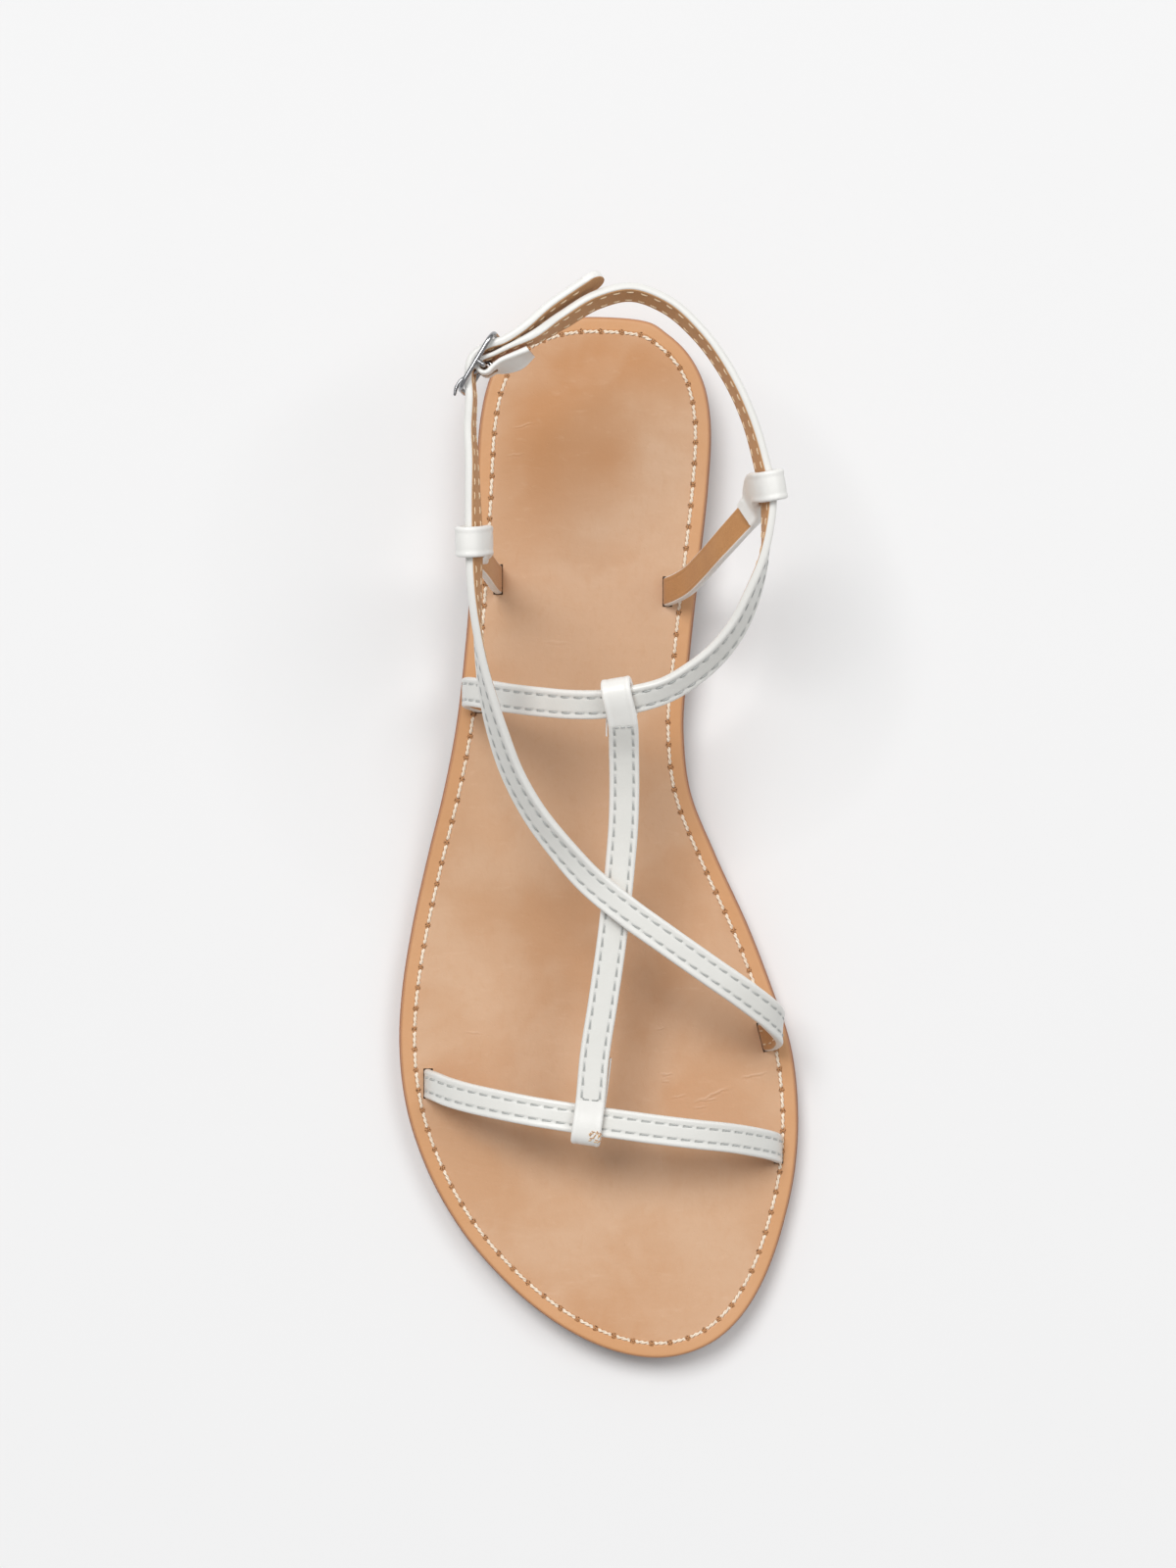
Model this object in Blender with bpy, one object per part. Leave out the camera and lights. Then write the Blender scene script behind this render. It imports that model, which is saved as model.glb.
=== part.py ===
"""Cross strap sandal for the right foot, empty and standing on its sole.

Three layers make the sole: a low heel block, an outsole that rises over it, and an insole with
a slot for each strap end. The upper is six narrow straps. Each strap is one flat band swept
along a smooth path, and where two straps join, one is folded round the other.

Tables and sizes are in millimetres and degrees. +Y points to the toe, +Z up, and -X is the side
of the big toe.
"""

import math
from collections import namedtuple

import bmesh
import bpy
import numpy as np
from mathutils import Vector

MM = 0.001
GAP = 0.3

# Sole
SOLE_LENGTH = 250.0
SOLE_MIDDLE_Y = 2.3
OUTSOLE_THICK = 3.5
INSOLE_THICK = 3.0
INSOLE_INSET = 0.4
HEEL_HEIGHT = 6.0
HEEL_INSET = 0.5
HEEL_FRONT_Y = -62.0
TOE_SPRING = 3.0
SOLE_CHAMFER = 0.5
SOLE_STATIONS = 56
HEEL_STATIONS = 26
# Share of a station's step that is left out at the heel and at the toe, where the outline closes
END_SHARE = 0.6
# Length over which each corner of the sole's profile is eased
PROFILE_EASE = 9.0

# Straps
STRAP_WIDTH = 7.0
STRAP_THICK = 2.0
EDGE_RADIUS = 0.9
SLOT_MARGIN = 0.3
SLOT_RISE = 0.4
LOOP_EASE = 0.45
LOOP_DISTANCE = STRAP_THICK + LOOP_EASE
LOOP_STRAIGHT = STRAP_WIDTH / 2 - EDGE_RADIUS
FINE_STEP = 0.4
MOST_STEP = 5.0
MOST_TURN = math.radians(9)
TIP_ROUNDING = 3.0
TIP_SHARES = (0.0, 0.35, 0.65, 0.85, 0.97)
HOLE_PITCH = 7.0
HOLE_RADIUS = 0.9
# Spare holes, counted in pitches from the one in use
SPARE_HOLES = (-2, 2, 3)
CUT_SIDES = 12

# Buckle, in its own directions: along runs to the heel, out away from the foot, up its height
BUCKLE_CENTRE = Vector((27.4, -106.7, 68.3))
BUCKLE_COMPASS = 239.0
BUCKLE_LEAN = 8.0
WIRE_RADIUS = 0.6
FRAME_LENGTH = 16.0
FRAME_HEIGHT = 11.5
FRAME_CORNER = 2.6
BAR_SET_IN = 1.8
BAR_STRAIGHT = 4.2
BAR_BEND = 0.7
FOLD_THICK = 1.2
WIRE_SIDES = 8
# Wires that join have slightly unlike radii, so that their faces never coincide
JOIN_SHARE = 0.95
PRONG_RADIUS = 0.5
PRONG_RING = 1.4
PRONG_RING_SIDES = 16
PRONG_PLAY = 0.45
PRONG_OVERRUN = 1.5
PRONG_SLOT_HEIGHT = 1.7
PRONG_SLOT_LENGTH = 5.4

Edge = namedtuple("Edge", "y medial lateral")
SOLE_OUTLINE = (
    Edge(-125.0, 2.0, 2.0),
    Edge(-124.3, -9.5, 9.0),
    Edge(-120.9, -16.5, 18.0),
    Edge(-115.5, -21.9, 23.6),
    Edge(-108.0, -25.5, 26.9),
    Edge(-100.0, -26.8, 28.5),
    Edge(-83.6, -26.2, 29.5),
    Edge(-69.5, -24.7, 30.3),
    Edge(-46.4, -22.1, 32.0),
    Edge(-25.0, -20.4, 34.6),
    Edge(-11.0, -22.1, 37.4),
    Edge(3.5, -27.9, 41.0),
    Edge(21.9, -36.3, 45.1),
    Edge(36.5, -41.9, 47.4),
    Edge(48.0, -45.8, 48.1),
    Edge(64.8, -48.0, 46.4),
    Edge(79.0, -47.4, 41.8),
    Edge(93.0, -44.5, 34.2),
    Edge(107.2, -39.3, 22.1),
    Edge(116.6, -33.0, 10.4),
    Edge(121.0, -27.8, 2.5),
    Edge(124.0, -21.0, -6.0),
    Edge(125.0, -14.0, -14.0),
)

# Height of the outsole's underside along the foot
Rise = namedtuple("Rise", "y height")
SOLE_PROFILE = (
    Rise(-125.0, HEEL_HEIGHT + GAP),
    Rise(-51.0, HEEL_HEIGHT + GAP),
    Rise(-38.0, 5.1),
    Rise(-10.0, 2.2),
    Rise(10.0, 0.5),
    Rise(24.0, 0.0),
    Rise(90.0, 0.0),
    Rise(108.0, 0.9),
    Rise(125.0, TOE_SPRING),
)

# Where each strap leaves the insole. The compass is the way its width runs.
Slot = namedtuple("Slot", "x y compass")
SLOTS = {
    "toe_lateral": Slot(41.0, 61.3, 90),
    "toe_medial": Slot(-43.2, 76.9, 90),
    "diagonal": Slot(-39.8, 50.0, 284),
    "instep": Slot(28.7, -31.3, 90),
    "medial_tab": Slot(-16.4, -56.7, 270),
    "lateral_tab": Slot(24.1, -59.6, 90),
}

# A strap's path. Compass and rise give the way its width runs: 0 is +X, 90 is +Y, and a rise of
# 90 is straight up.
Row = namedtuple("Row", "x y z compass rise")
TOE_STRAP = (
    Row(39.4, 61.6, 11.6, 89, 0),
    Row(36.0, 62.7, 16.0, 87, 0),
    Row(31.0, 63.9, 20.2, 85, 0),
    Row(24.0, 65.2, 24.3, 83, 0),
    Row(16.0, 66.6, 27.2, 81, 0),
    Row(6.0, 68.1, 28.8, 81, 0),
    Row(-4.0, 69.5, 29.2, 81, 0),
    Row(-14.0, 70.9, 28.7, 81, 0),
    Row(-23.0, 72.1, 26.8, 82, 0),
    Row(-31.0, 73.2, 23.0, 83, 0),
    Row(-37.5, 74.6, 17.8, 85, 0),
    Row(-41.6, 75.9, 12.2, 88, 0),
)
CENTRE_STRAP = (
    Row(1.0, 53.0, 32.0, 173, 0),
    Row(-0.9, 40.8, 32.8, 172, 0),
    Row(-3.1, 25.3, 34.2, 173, 0),
    Row(-4.1, 16.8, 35.1, 174, 0),
    Row(-4.9, 8.8, 36.1, 175, 0),
    Row(-5.7, -1.5, 37.8, 177, 0),
    Row(-5.9, -10.2, 40.0, 180, 0),
    Row(-5.8, -17.1, 42.8, 182, 0),
)
DIAGONAL_STRAP = (
    Row(-41.6, 49.4, 12.6, 281, 0),
    Row(-42.9, 47.4, 18.6, 266, 0),
    Row(-40.8, 44.2, 25.0, 250, 0),
    Row(-35.2, 39.6, 30.2, 238, 0),
    Row(-26.0, 33.1, 34.0, 234, -4),
    Row(-16.0, 26.0, 36.4, 232, -2),
    Row(-6.6, 19.2, 37.6, 230, 2),
    Row(2.6, 11.5, 38.6, 227, 16),
    Row(8.7, 4.6, 40.8, 221, 32),
    Row(15.0, -3.7, 44.2, 213, 44),
    Row(20.1, -13.1, 48.5, 204, 52),
    Row(23.6, -23.2, 53.4, 196, 58),
    Row(25.6, -31.0, 57.0, 190, 68),
    Row(26.9, -37.7, 59.9, 186, 79),
    Row(28.0, -46.7, 63.3, 183, 92),
    Row(28.5, -55.5, 66.0, 181, 104),
    Row(28.6, -66.2, 67.6, 180, 112),
    Row(28.9, -75.6, 68.2, 180, 108),
    Row(29.1, -84.5, 68.4, 176, 102),
    Row(29.5, -92.0, 68.4, 168, 99),
)
DIAGONAL_TIP = (
    Row(10.9, -119.3, 67.9, 120, 107),
    Row(5.0, -123.3, 67.7, 119, 109),
    Row(-0.6, -126.9, 67.5, 118, 111),
)
INSTEP_HEEL_STRAP = (
    Row(31.4, -32.2, 15.8, 90, 0),
    Row(31.0, -32.6, 22.0, 90, 0),
    Row(27.2, -32.0, 28.8, 90, -5),
    Row(22.5, -31.1, 34.0, 92, -8),
    Row(13.8, -29.9, 41.0, 92, -12),
    Row(5.6, -29.2, 45.3, 92, -18),
    Row(-1.3, -29.3, 47.6, 94, -23),
    Row(-8.6, -30.5, 48.8, 100, -30),
    Row(-15.6, -32.6, 49.4, 112, -38),
    Row(-21.5, -36.1, 50.5, 124, -43),
    Row(-26.9, -40.6, 52.0, 134, -50),
    Row(-31.8, -46.9, 54.3, 146, -58),
    Row(-35.4, -54.8, 57.0, 156, -68),
    Row(-37.8, -62.6, 58.7, 166, -84),
    Row(-38.7, -69.3, 59.6, 174, -98),
    Row(-38.8, -77.2, 60.2, 181, -110),
    Row(-37.2, -85.0, 60.7, 190, -109),
    Row(-34.6, -94.0, 61.4, 197, -106),
    Row(-29.9, -104.2, 62.4, 210, -106),
    Row(-22.9, -114.0, 63.5, 226, -108),
    Row(-15.2, -120.6, 64.4, 247, -111),
    Row(-7.2, -123.3, 65.2, 270, -112),
    Row(0.4, -121.5, 66.0, 286, -112),
    Row(8.5, -116.7, 66.9, 302, -109),
)
MEDIAL_TAB = (
    Row(-18.0, -57.2, 17.2, 272, -4),
    Row(-21.1, -58.8, 23.0, 276, -10),
    Row(-24.5, -62.0, 31.0, 278, -12),
    Row(-28.7, -66.6, 40.6, 278, -12),
    Row(-34.2, -72.6, 47.6, 277, -8),
    Row(-38.6, -77.4, 52.4, 281, 0),
)
LATERAL_TAB = (
    Row(24.6, -59.9, 19.0, 90, 0),
    Row(25.4, -60.8, 30.0, 90, 0),
    Row(26.6, -62.4, 42.0, 90, 0),
    Row(28.9, -65.0, 54.0, 90, 0),
)

# Through the buckle, in its own directions
Pass = namedtuple("Pass", "along out thick")
DIAGONAL_IN_BUCKLE = (
    Pass(-7.4, -2.3, STRAP_THICK),
    Pass(-3.6, 0.3, STRAP_THICK),
    Pass(0.0, 1.65, STRAP_THICK),
    Pass(3.7, 0.5, STRAP_THICK),
    Pass(7.4, -2.6, STRAP_THICK),
    Pass(11.0, -4.5, STRAP_THICK),
)
HEEL_TO_BUCKLE = (
    Pass(11.0, -7.4, STRAP_THICK),
    Pass(7.4, -4.95, 1.4),
    Pass(3.7, -2.5, FOLD_THICK),
)

# The folded-back end of a strap: how far it is away across its host, how far apart from the
# strap that it is sewn to, how much more it leans, how far aside it is and how thick
Fold = namedtuple("Fold", "away apart lean aside thick")
FRONT_FOLD = (
    Fold(6.5, 3.7, 0, 0.3, STRAP_THICK),
    Fold(9.5, 2.6, 0, 0.5, STRAP_THICK),
    Fold(15.0, 2.35, 0, 0.6, STRAP_THICK),
)
REAR_FOLD = (
    Fold(6.2, 3.6, 0, -0.4, STRAP_THICK),
    Fold(9.4, 2.5, 0, -0.6, STRAP_THICK),
)
MEDIAL_TAB_FOLD = (
    Fold(7.4, 4.1, 0, -0.3, STRAP_THICK),
    Fold(9.6, 3.3, 0, -0.7, STRAP_THICK),
    Fold(11.8, 2.7, 0, -1.1, STRAP_THICK),
)
LATERAL_TAB_FOLD = (
    Fold(6.2, 3.9, 0, 0.0, STRAP_THICK),
    Fold(9.0, 2.9, 0, 0.0, STRAP_THICK),
    Fold(12.5, 2.4, 0, 0.0, STRAP_THICK),
)
BUCKLE_FOLD = (
    Fold(3.2, 2.8, 16, 0, FOLD_THICK),
    Fold(6.5, 3.2, 22, 0, 1.4),
    Fold(9.5, 2.6, 6, 0, 1.6),
)

# Where each sewn loop goes round the strap that carries it
Crossing = namedtuple("Crossing", "x y")
FRONT_CROSSING = Crossing(2.6, 68.7)
REAR_CROSSING = Crossing(-4.9, -29.8)
MEDIAL_CROSSING = Crossing(-38.7, -79.2)
LATERAL_CROSSING = Crossing(28.3, -66.2)

# The prong's arm, from its ring on the bar, out through the strap and over the frame's front end
Reach = namedtuple("Reach", "along out")
PRONG_ARM = (
    Reach(-1.0, -0.9),
    Reach(-5.2, 1.55),
    Reach(-7.4, 1.75),
    Reach(-9.0, 1.2),
)

Knot = namedtuple("Knot", "place width thick")
Station = namedtuple("Station", "place along width out thick")
Host = namedtuple("Host", "place along width out")


def clear_scene():
    for thing in list(bpy.data.objects):
        bpy.data.objects.remove(thing, do_unlink=True)
    for group in list(bpy.data.collections):
        bpy.data.collections.remove(group)


def new_group(name, hidden=False):
    group = bpy.data.collections.new(name)
    group.hide_render = hidden
    bpy.context.scene.collection.children.link(group)
    return group


def direction(compass, rise):
    turn, lift = math.radians(compass), math.radians(rise)
    return Vector((math.cos(lift) * math.cos(turn), math.cos(lift) * math.sin(turn), math.sin(lift)))


def hermite(before, after, slope_before, slope_after, span, share):
    """Cubic from one value to the next, with a slope at each end."""
    squared, cubed = share * share, share * share * share
    return (
        (2 * cubed - 3 * squared + 1) * before
        + (cubed - 2 * squared + share) * span * slope_before
        + (3 * squared - 2 * cubed) * after
        + (cubed - squared) * span * slope_after
    )


def slopes(places, values):
    """Slope of a smooth curve at each place, which may be unevenly spaced."""
    steps = np.diff(places)[:, None]
    secants = np.diff(values, axis=0) / steps
    inner = (secants[:-1] * steps[1:] + secants[1:] * steps[:-1]) / (steps[:-1] + steps[1:])
    return np.vstack([secants[:1], inner, secants[-1:]])


def smooth(places, values, wanted):
    """Values of a smooth curve through the given ones, at each wanted place."""
    places = np.asarray(places, float)
    values = np.asarray(values, float).reshape(len(places), -1)
    slope = slopes(places, values)
    found = []
    for place in wanted:
        before = min(max(int(np.searchsorted(places, place)) - 1, 0), len(places) - 2)
        span = places[before + 1] - places[before]
        share = (place - places[before]) / span
        found.append(hermite(values[before], values[before + 1], slope[before], slope[before + 1], span, share))
    return np.array(found)


# Sole


def round_angle(y):
    """The outline closes at heel and toe like a circle, so it is smooth in this angle."""
    return math.acos(max(-1.0, min(1.0, -y / (SOLE_LENGTH / 2))))


def underside(y):
    """Height of the outsole's underside at a distance along the sole from its middle."""
    return float(np.interp(y, [row.y for row in SOLE_PROFILE], [row.height for row in SOLE_PROFILE]))


def eased_underside(y):
    """The same height with the profile's corners rounded off."""
    near = [underside(y + PROFILE_EASE * share) for share in (-1, -0.5, 0, 0.5, 1)]
    return sum(near) / len(near)


def insole_top(y):
    """Height of the insole's top face at a place in the shoe's own frame."""
    return eased_underside(y - SOLE_MIDDLE_Y) + OUTSOLE_THICK + GAP + INSOLE_THICK


def sole_sections(inset, lowest, highest, last_angle, count):
    """Rows of six corners across the sole, from the heel forward."""
    angles = [round_angle(row.y) for row in SOLE_OUTLINE]
    edges = [(row.medial, row.lateral) for row in SOLE_OUTLINE]
    first_angle = last_angle / count * END_SHARE
    wanted = np.linspace(first_angle, last_angle, count)
    shrink = 1 - inset / (SOLE_LENGTH / 2)
    sections = []
    for angle, (medial, lateral) in zip(wanted, smooth(angles, edges, wanted)):
        y = -math.cos(angle) * SOLE_LENGTH / 2
        left, right = medial + inset, lateral - inset
        low, high = lowest(y), highest(y)
        cut = min(SOLE_CHAMFER, (right - left) / 4)
        corners = (
            (left, low), (right, low), (right, high - cut),
            (right - cut, high), (left + cut, high), (left, high - cut),
        )
        sections.append([Vector((x, y * shrink + SOLE_MIDDLE_Y, z)) for x, z in corners])
    return sections


def loft(name, sections, group, smooth_faces=True, closed=False):
    """One closed body through rings that have equally many corners."""
    mesh = bmesh.new()
    rings = [[mesh.verts.new(corner * MM) for corner in section] for section in sections]
    pairs = list(zip(rings, rings[1:]))
    if closed:
        pairs.append((rings[-1], rings[0]))
    else:
        mesh.faces.new(rings[0])
        mesh.faces.new(rings[-1])
    for before, after in pairs:
        for i in range(len(before)):
            j = (i + 1) % len(before)
            mesh.faces.new((before[i], before[j], after[j], after[i]))
    bmesh.ops.recalc_face_normals(mesh, faces=mesh.faces)
    data = bpy.data.meshes.new(name)
    mesh.to_mesh(data)
    mesh.free()
    for face in data.polygons:
        face.use_smooth = smooth_faces
    data.set_sharp_from_angle(angle=math.radians(40))
    thing = bpy.data.objects.new(name, data)
    group.objects.link(thing)
    return thing


def make_outsole(group):
    last = math.pi * (1 - END_SHARE / SOLE_STATIONS)
    return loft(
        "outsole",
        sole_sections(0.0, eased_underside, lambda y: eased_underside(y) + OUTSOLE_THICK, last, SOLE_STATIONS),
        group,
    )


def make_heel(group):
    sections = sole_sections(
        HEEL_INSET, lambda y: 0.0, lambda y: HEEL_HEIGHT, round_angle(HEEL_FRONT_Y), HEEL_STATIONS
    )
    return loft("heel", sections, group)


def make_insole(group, cutters):
    bottom = OUTSOLE_THICK + GAP
    last = math.pi * (1 - END_SHARE / SOLE_STATIONS)
    insole = loft(
        "insole",
        sole_sections(
            INSOLE_INSET,
            lambda y: eased_underside(y) + bottom,
            lambda y: eased_underside(y) + bottom + INSOLE_THICK,
            last,
            SOLE_STATIONS,
        ),
        group,
    )
    for name, slot in SLOTS.items():
        cut(insole, box_cutter(f"slot_{name}", slot_place(slot), slot_axes(slot), slot_size(), cutters))
    return insole


def slot_place(slot):
    return Vector((slot.x, slot.y, insole_top(slot.y) - INSOLE_THICK / 2))


def slot_axes(slot):
    width = direction(slot.compass, 0)
    return width, Vector((0, 0, 1)), width.cross(Vector((0, 0, 1)))


def slot_size():
    return (STRAP_WIDTH + 2 * SLOT_MARGIN, 3 * INSOLE_THICK, STRAP_THICK + 2 * SLOT_MARGIN)


def box_cutter(name, place, axes, size, cutters):
    """A box with its middle at the place and its sides along the three axes."""
    corners = []
    for end in (-0.5, 0.5):
        corners.append([
            place + axes[1] * size[1] * end + axes[0] * size[0] * a + axes[2] * size[2] * b
            for a, b in ((-0.5, -0.5), (0.5, -0.5), (0.5, 0.5), (-0.5, 0.5))
        ])
    cutter = loft(name, corners, cutters, smooth_faces=False)
    cutter.display_type = "WIRE"
    return cutter


def round_cutter(name, start, end, radius, cutters):
    """A straight round bar from one place to another."""
    axis = (end - start).normalized()
    side = axis.orthogonal().normalized()
    other = axis.cross(side)
    turns = [2 * math.pi * i / CUT_SIDES for i in range(CUT_SIDES)]
    rings = [
        [place + side * radius * math.cos(turn) + other * radius * math.sin(turn) for turn in turns]
        for place in (start, end)
    ]
    cutter = loft(name, rings, cutters, smooth_faces=False)
    cutter.display_type = "WIRE"
    return cutter


def boolean(thing, other, operation):
    modifier = thing.modifiers.new(other.name, "BOOLEAN")
    modifier.operation = operation
    modifier.solver = "EXACT"
    modifier.object = other


def cut(thing, cutter):
    boolean(thing, cutter, "DIFFERENCE")


# Straps


def knots_of(rows, thick=STRAP_THICK):
    return [Knot(Vector((row.x, row.y, row.z)), direction(row.compass, row.rise), thick) for row in rows]


def slot_knots(slot):
    """A strap's end inside its slot, from just above the outsole to the insole's top."""
    width = direction(slot.compass, 0)
    top = insole_top(slot.y)
    low = top - INSOLE_THICK + GAP
    heights = (low, (low + top) / 2, top + SLOT_RISE)
    return [Knot(Vector((slot.x, slot.y, height)), width, STRAP_THICK) for height in heights]


def fine_stations(knots):
    """Many stations along the smooth path through the knots, each with its own directions."""
    places = np.array([tuple(knot.place) for knot in knots])
    lengths = np.concatenate([[0], np.cumsum(np.linalg.norm(np.diff(places, axis=0), axis=1))])
    values = np.array([(*knot.place, *knot.width, knot.thick) for knot in knots])
    count = max(2, int(lengths[-1] / FINE_STEP))
    found = smooth(lengths, values, np.linspace(0, lengths[-1], count))
    stations = []
    for i, value in enumerate(found):
        before, after = found[max(i - 1, 0)], found[min(i + 1, count - 1)]
        along = Vector(after[:3] - before[:3]).normalized()
        width = Vector(value[3:6])
        width = (width - along * width.dot(along)).normalized()
        stations.append(Station(Vector(value[:3]), along, width, width.cross(along), value[6]))
    return stations


def thinned(stations):
    """The stations that the bends and twists need."""
    kept = [stations[0]]
    for station in stations[1:-1]:
        last = kept[-1]
        turn = max(station.along.angle(last.along), station.width.angle(last.width))
        if turn > MOST_TURN or (station.place - last.place).length > MOST_STEP:
            kept.append(station)
    if (stations[-1].place - kept[-1].place).length < FINE_STEP * 1.5:
        kept.pop()
    kept.append(stations[-1])
    return kept


def strap_section(station, half_width):
    """A flat band's section with its edges folded round."""
    half_thick = station.thick / 2
    radius = min(EDGE_RADIUS * station.thick / STRAP_THICK, half_width / 2)
    corners = ((1, 1, 0), (-1, 1, 90), (-1, -1, 180), (1, -1, 270))
    section = []
    for side, face, first in corners:
        middle = (
            station.place
            + station.width * side * (half_width - radius)
            + station.out * face * (half_thick - radius)
        )
        for turn in (0, 45, 90):
            angle = math.radians(first + turn)
            section.append(middle + (station.width * math.cos(angle) + station.out * math.sin(angle)) * radius)
    return section


def tip_stations(stations):
    """Half widths for a strap whose far end is rounded, with the stations that the curve needs."""
    end = stations[-1]
    kept = [one for one in stations if (one.place - end.place).length > TIP_ROUNDING]
    half = STRAP_WIDTH / 2
    rings = [(one, half) for one in kept]
    for share in TIP_SHARES:
        place = end.place - end.along * TIP_ROUNDING * (1 - share)
        rings.append((end._replace(place=place), half * math.sqrt(1 - share * share * 0.9)))
    return rings


def make_strap(name, knots, group, rounded=False):
    stations = thinned(fine_stations(knots))
    if rounded:
        rings = tip_stations(stations)
    else:
        rings = [(one, STRAP_WIDTH / 2) for one in stations]
    return loft(name, [strap_section(one, half) for one, half in rings], group)


def host_at(knots, crossing):
    """A strap's place and directions where a loop goes round it."""
    station = min(
        fine_stations(knots),
        key=lambda one: math.hypot(one.place.x - crossing.x, one.place.y - crossing.y),
    )
    return Host(station.place, station.along, station.width, station.out)


def folded_loop(host, turn, straight, distance, thick, leaving, folds):
    """Knots of a strap end folded round a host, from its cut end to where the strap leaves.

    The strap lies over the host's outer face, turns round the edge on the turn side and comes
    back along the inner face.
    """
    side = host.width * turn
    width = host.along if host.along.dot(leaving[0].width) > 0 else -host.along

    def at(across, out):
        return Knot(host.place + side * across + host.out * out, width, thick)

    over = [at(straight, distance), at(-straight, distance)] if straight else [at(0, distance)]
    under = [at(-straight, -distance), at(straight, -distance)] if straight else [at(0, -distance)]
    bend = [
        at(straight + distance * math.cos(math.radians(angle)), distance * math.sin(math.radians(angle)))
        for angle in (-60, -30, 0, 30, 60)
    ]
    run = fine_stations(over[-1:] + leaving)
    outward = 1 if run[0].out.dot(host.out) > 0 else -1
    end = []
    for fold in folds:
        station = next(one for one in run if side.dot(host.place - one.place) >= fold.away)
        lean = math.radians(fold.lean)
        # The lean turns the upper edge towards the strap that the fold is sewn to.
        out = station.out * outward
        upward = 1 if station.width.z > 0 else -1
        tilted = station.width * math.cos(lean) + out * math.sin(lean) * upward
        place = station.place - out * fold.apart + station.width * fold.aside
        end.append(Knot(place, tilted, fold.thick))
    return end[::-1] + under + bend + over


def buckle_place(along, out, up=0.0):
    axes = buckle_axes()
    return BUCKLE_CENTRE + axes[0] * along + axes[1] * out + axes[2] * up


def buckle_axes():
    """Along the buckle to the heel, out from the foot, and up its height."""
    along = direction(BUCKLE_COMPASS, 0)
    up = direction(BUCKLE_COMPASS + 90, 90 - BUCKLE_LEAN)
    return along, along.cross(up) * -1, up


def passes(rows, width):
    return [Knot(buckle_place(row.along, row.out), width, row.thick) for row in rows]


def toe_knots():
    return (
        slot_knots(SLOTS["toe_lateral"])
        + knots_of(TOE_STRAP)
        + slot_knots(SLOTS["toe_medial"])[::-1]
    )


def diagonal_knots():
    up = buckle_axes()[2]
    return (
        slot_knots(SLOTS["diagonal"])
        + knots_of(DIAGONAL_STRAP)
        + passes(DIAGONAL_IN_BUCKLE, up)
        + knots_of(DIAGONAL_TIP)
    )


def instep_heel_knots():
    along, out, up = buckle_axes()
    arriving = knots_of(INSTEP_HEEL_STRAP) + passes(HEEL_TO_BUCKLE, -up)
    bar = Host(buckle_place(0, -BAR_SET_IN), up, along, out)
    distance = WIRE_RADIUS + GAP + FOLD_THICK / 2
    loop = folded_loop(bar, -1, 0, distance, FOLD_THICK, arriving[::-1], BUCKLE_FOLD)
    return slot_knots(SLOTS["instep"]) + arriving + loop[::-1]


def sewn_loop(host, turn, leaving, folds):
    return folded_loop(host, turn, LOOP_STRAIGHT, LOOP_DISTANCE, STRAP_THICK, leaving, folds)


def centre_knots():
    run = knots_of(CENTRE_STRAP)
    front = sewn_loop(host_at(toe_knots(), FRONT_CROSSING), 1, run, FRONT_FOLD)
    rear = sewn_loop(host_at(instep_heel_knots(), REAR_CROSSING), -1, run[::-1], REAR_FOLD)
    return front + run + rear[::-1]


def medial_tab_knots():
    run = slot_knots(SLOTS["medial_tab"]) + knots_of(MEDIAL_TAB)
    host = host_at(instep_heel_knots(), MEDIAL_CROSSING)
    return run + sewn_loop(host, -1, run[::-1], MEDIAL_TAB_FOLD)[::-1]


def lateral_tab_knots():
    run = slot_knots(SLOTS["lateral_tab"]) + knots_of(LATERAL_TAB)
    host = host_at(diagonal_knots(), LATERAL_CROSSING)
    return run + sewn_loop(host, 1, run[::-1], LATERAL_TAB_FOLD)[::-1]


def make_toe_strap(group):
    return make_strap("upper_toe_strap", toe_knots(), group)


def make_centre_strap(group):
    return make_strap("upper_centre_strap", centre_knots(), group)


def make_diagonal_strap(group, cutters):
    strap = make_strap("upper_diagonal_strap", diagonal_knots(), group, rounded=True)
    cut_buckle_holes(strap, cutters)
    return strap


def make_instep_heel_strap(group, cutters):
    """The strap over the instep and round the heel, with a slot for the prong in its fold."""
    strap = make_strap("upper_instep_heel_strap", instep_heel_knots(), group)
    along, out, up = buckle_axes()
    size = (PRONG_SLOT_LENGTH, PRONG_SLOT_HEIGHT, PRONG_SLOT_LENGTH)
    place = buckle_place(0.0, -BAR_SET_IN)
    cut(strap, box_cutter("slot_prong", place, (along, up, out), size, cutters))
    return strap


def make_medial_tab(group):
    return make_strap("upper_medial_tab", medial_tab_knots(), group)


def make_lateral_tab(group):
    return make_strap("upper_lateral_tab", lateral_tab_knots(), group)


def make_straps(group, cutters):
    return (
        make_toe_strap(group),
        make_centre_strap(group),
        make_diagonal_strap(group, cutters),
        make_instep_heel_strap(group, cutters),
        make_medial_tab(group),
        make_lateral_tab(group),
    )


def cut_buckle_holes(strap, cutters):
    """The hole that the prong is through, and the spare ones."""
    start, end = prong_arm()[:2]
    overrun = (end - start).normalized() * PRONG_OVERRUN
    cut(strap, round_cutter("hole_used", start, end + overrun, PRONG_RADIUS + PRONG_PLAY, cutters))
    stations = fine_stations(diagonal_knots())
    used = min(range(len(stations)), key=lambda i: (stations[i].place - (start + end) / 2).length)
    pitch = round(HOLE_PITCH / FINE_STEP)
    for number, step in enumerate(SPARE_HOLES):
        station = stations[used + step * pitch]
        inner = station.place - station.out * STRAP_THICK
        outer = station.place + station.out * STRAP_THICK
        cut(strap, round_cutter(f"spare_hole_{number}", inner, outer, HOLE_RADIUS, cutters))


# Buckle


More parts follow.
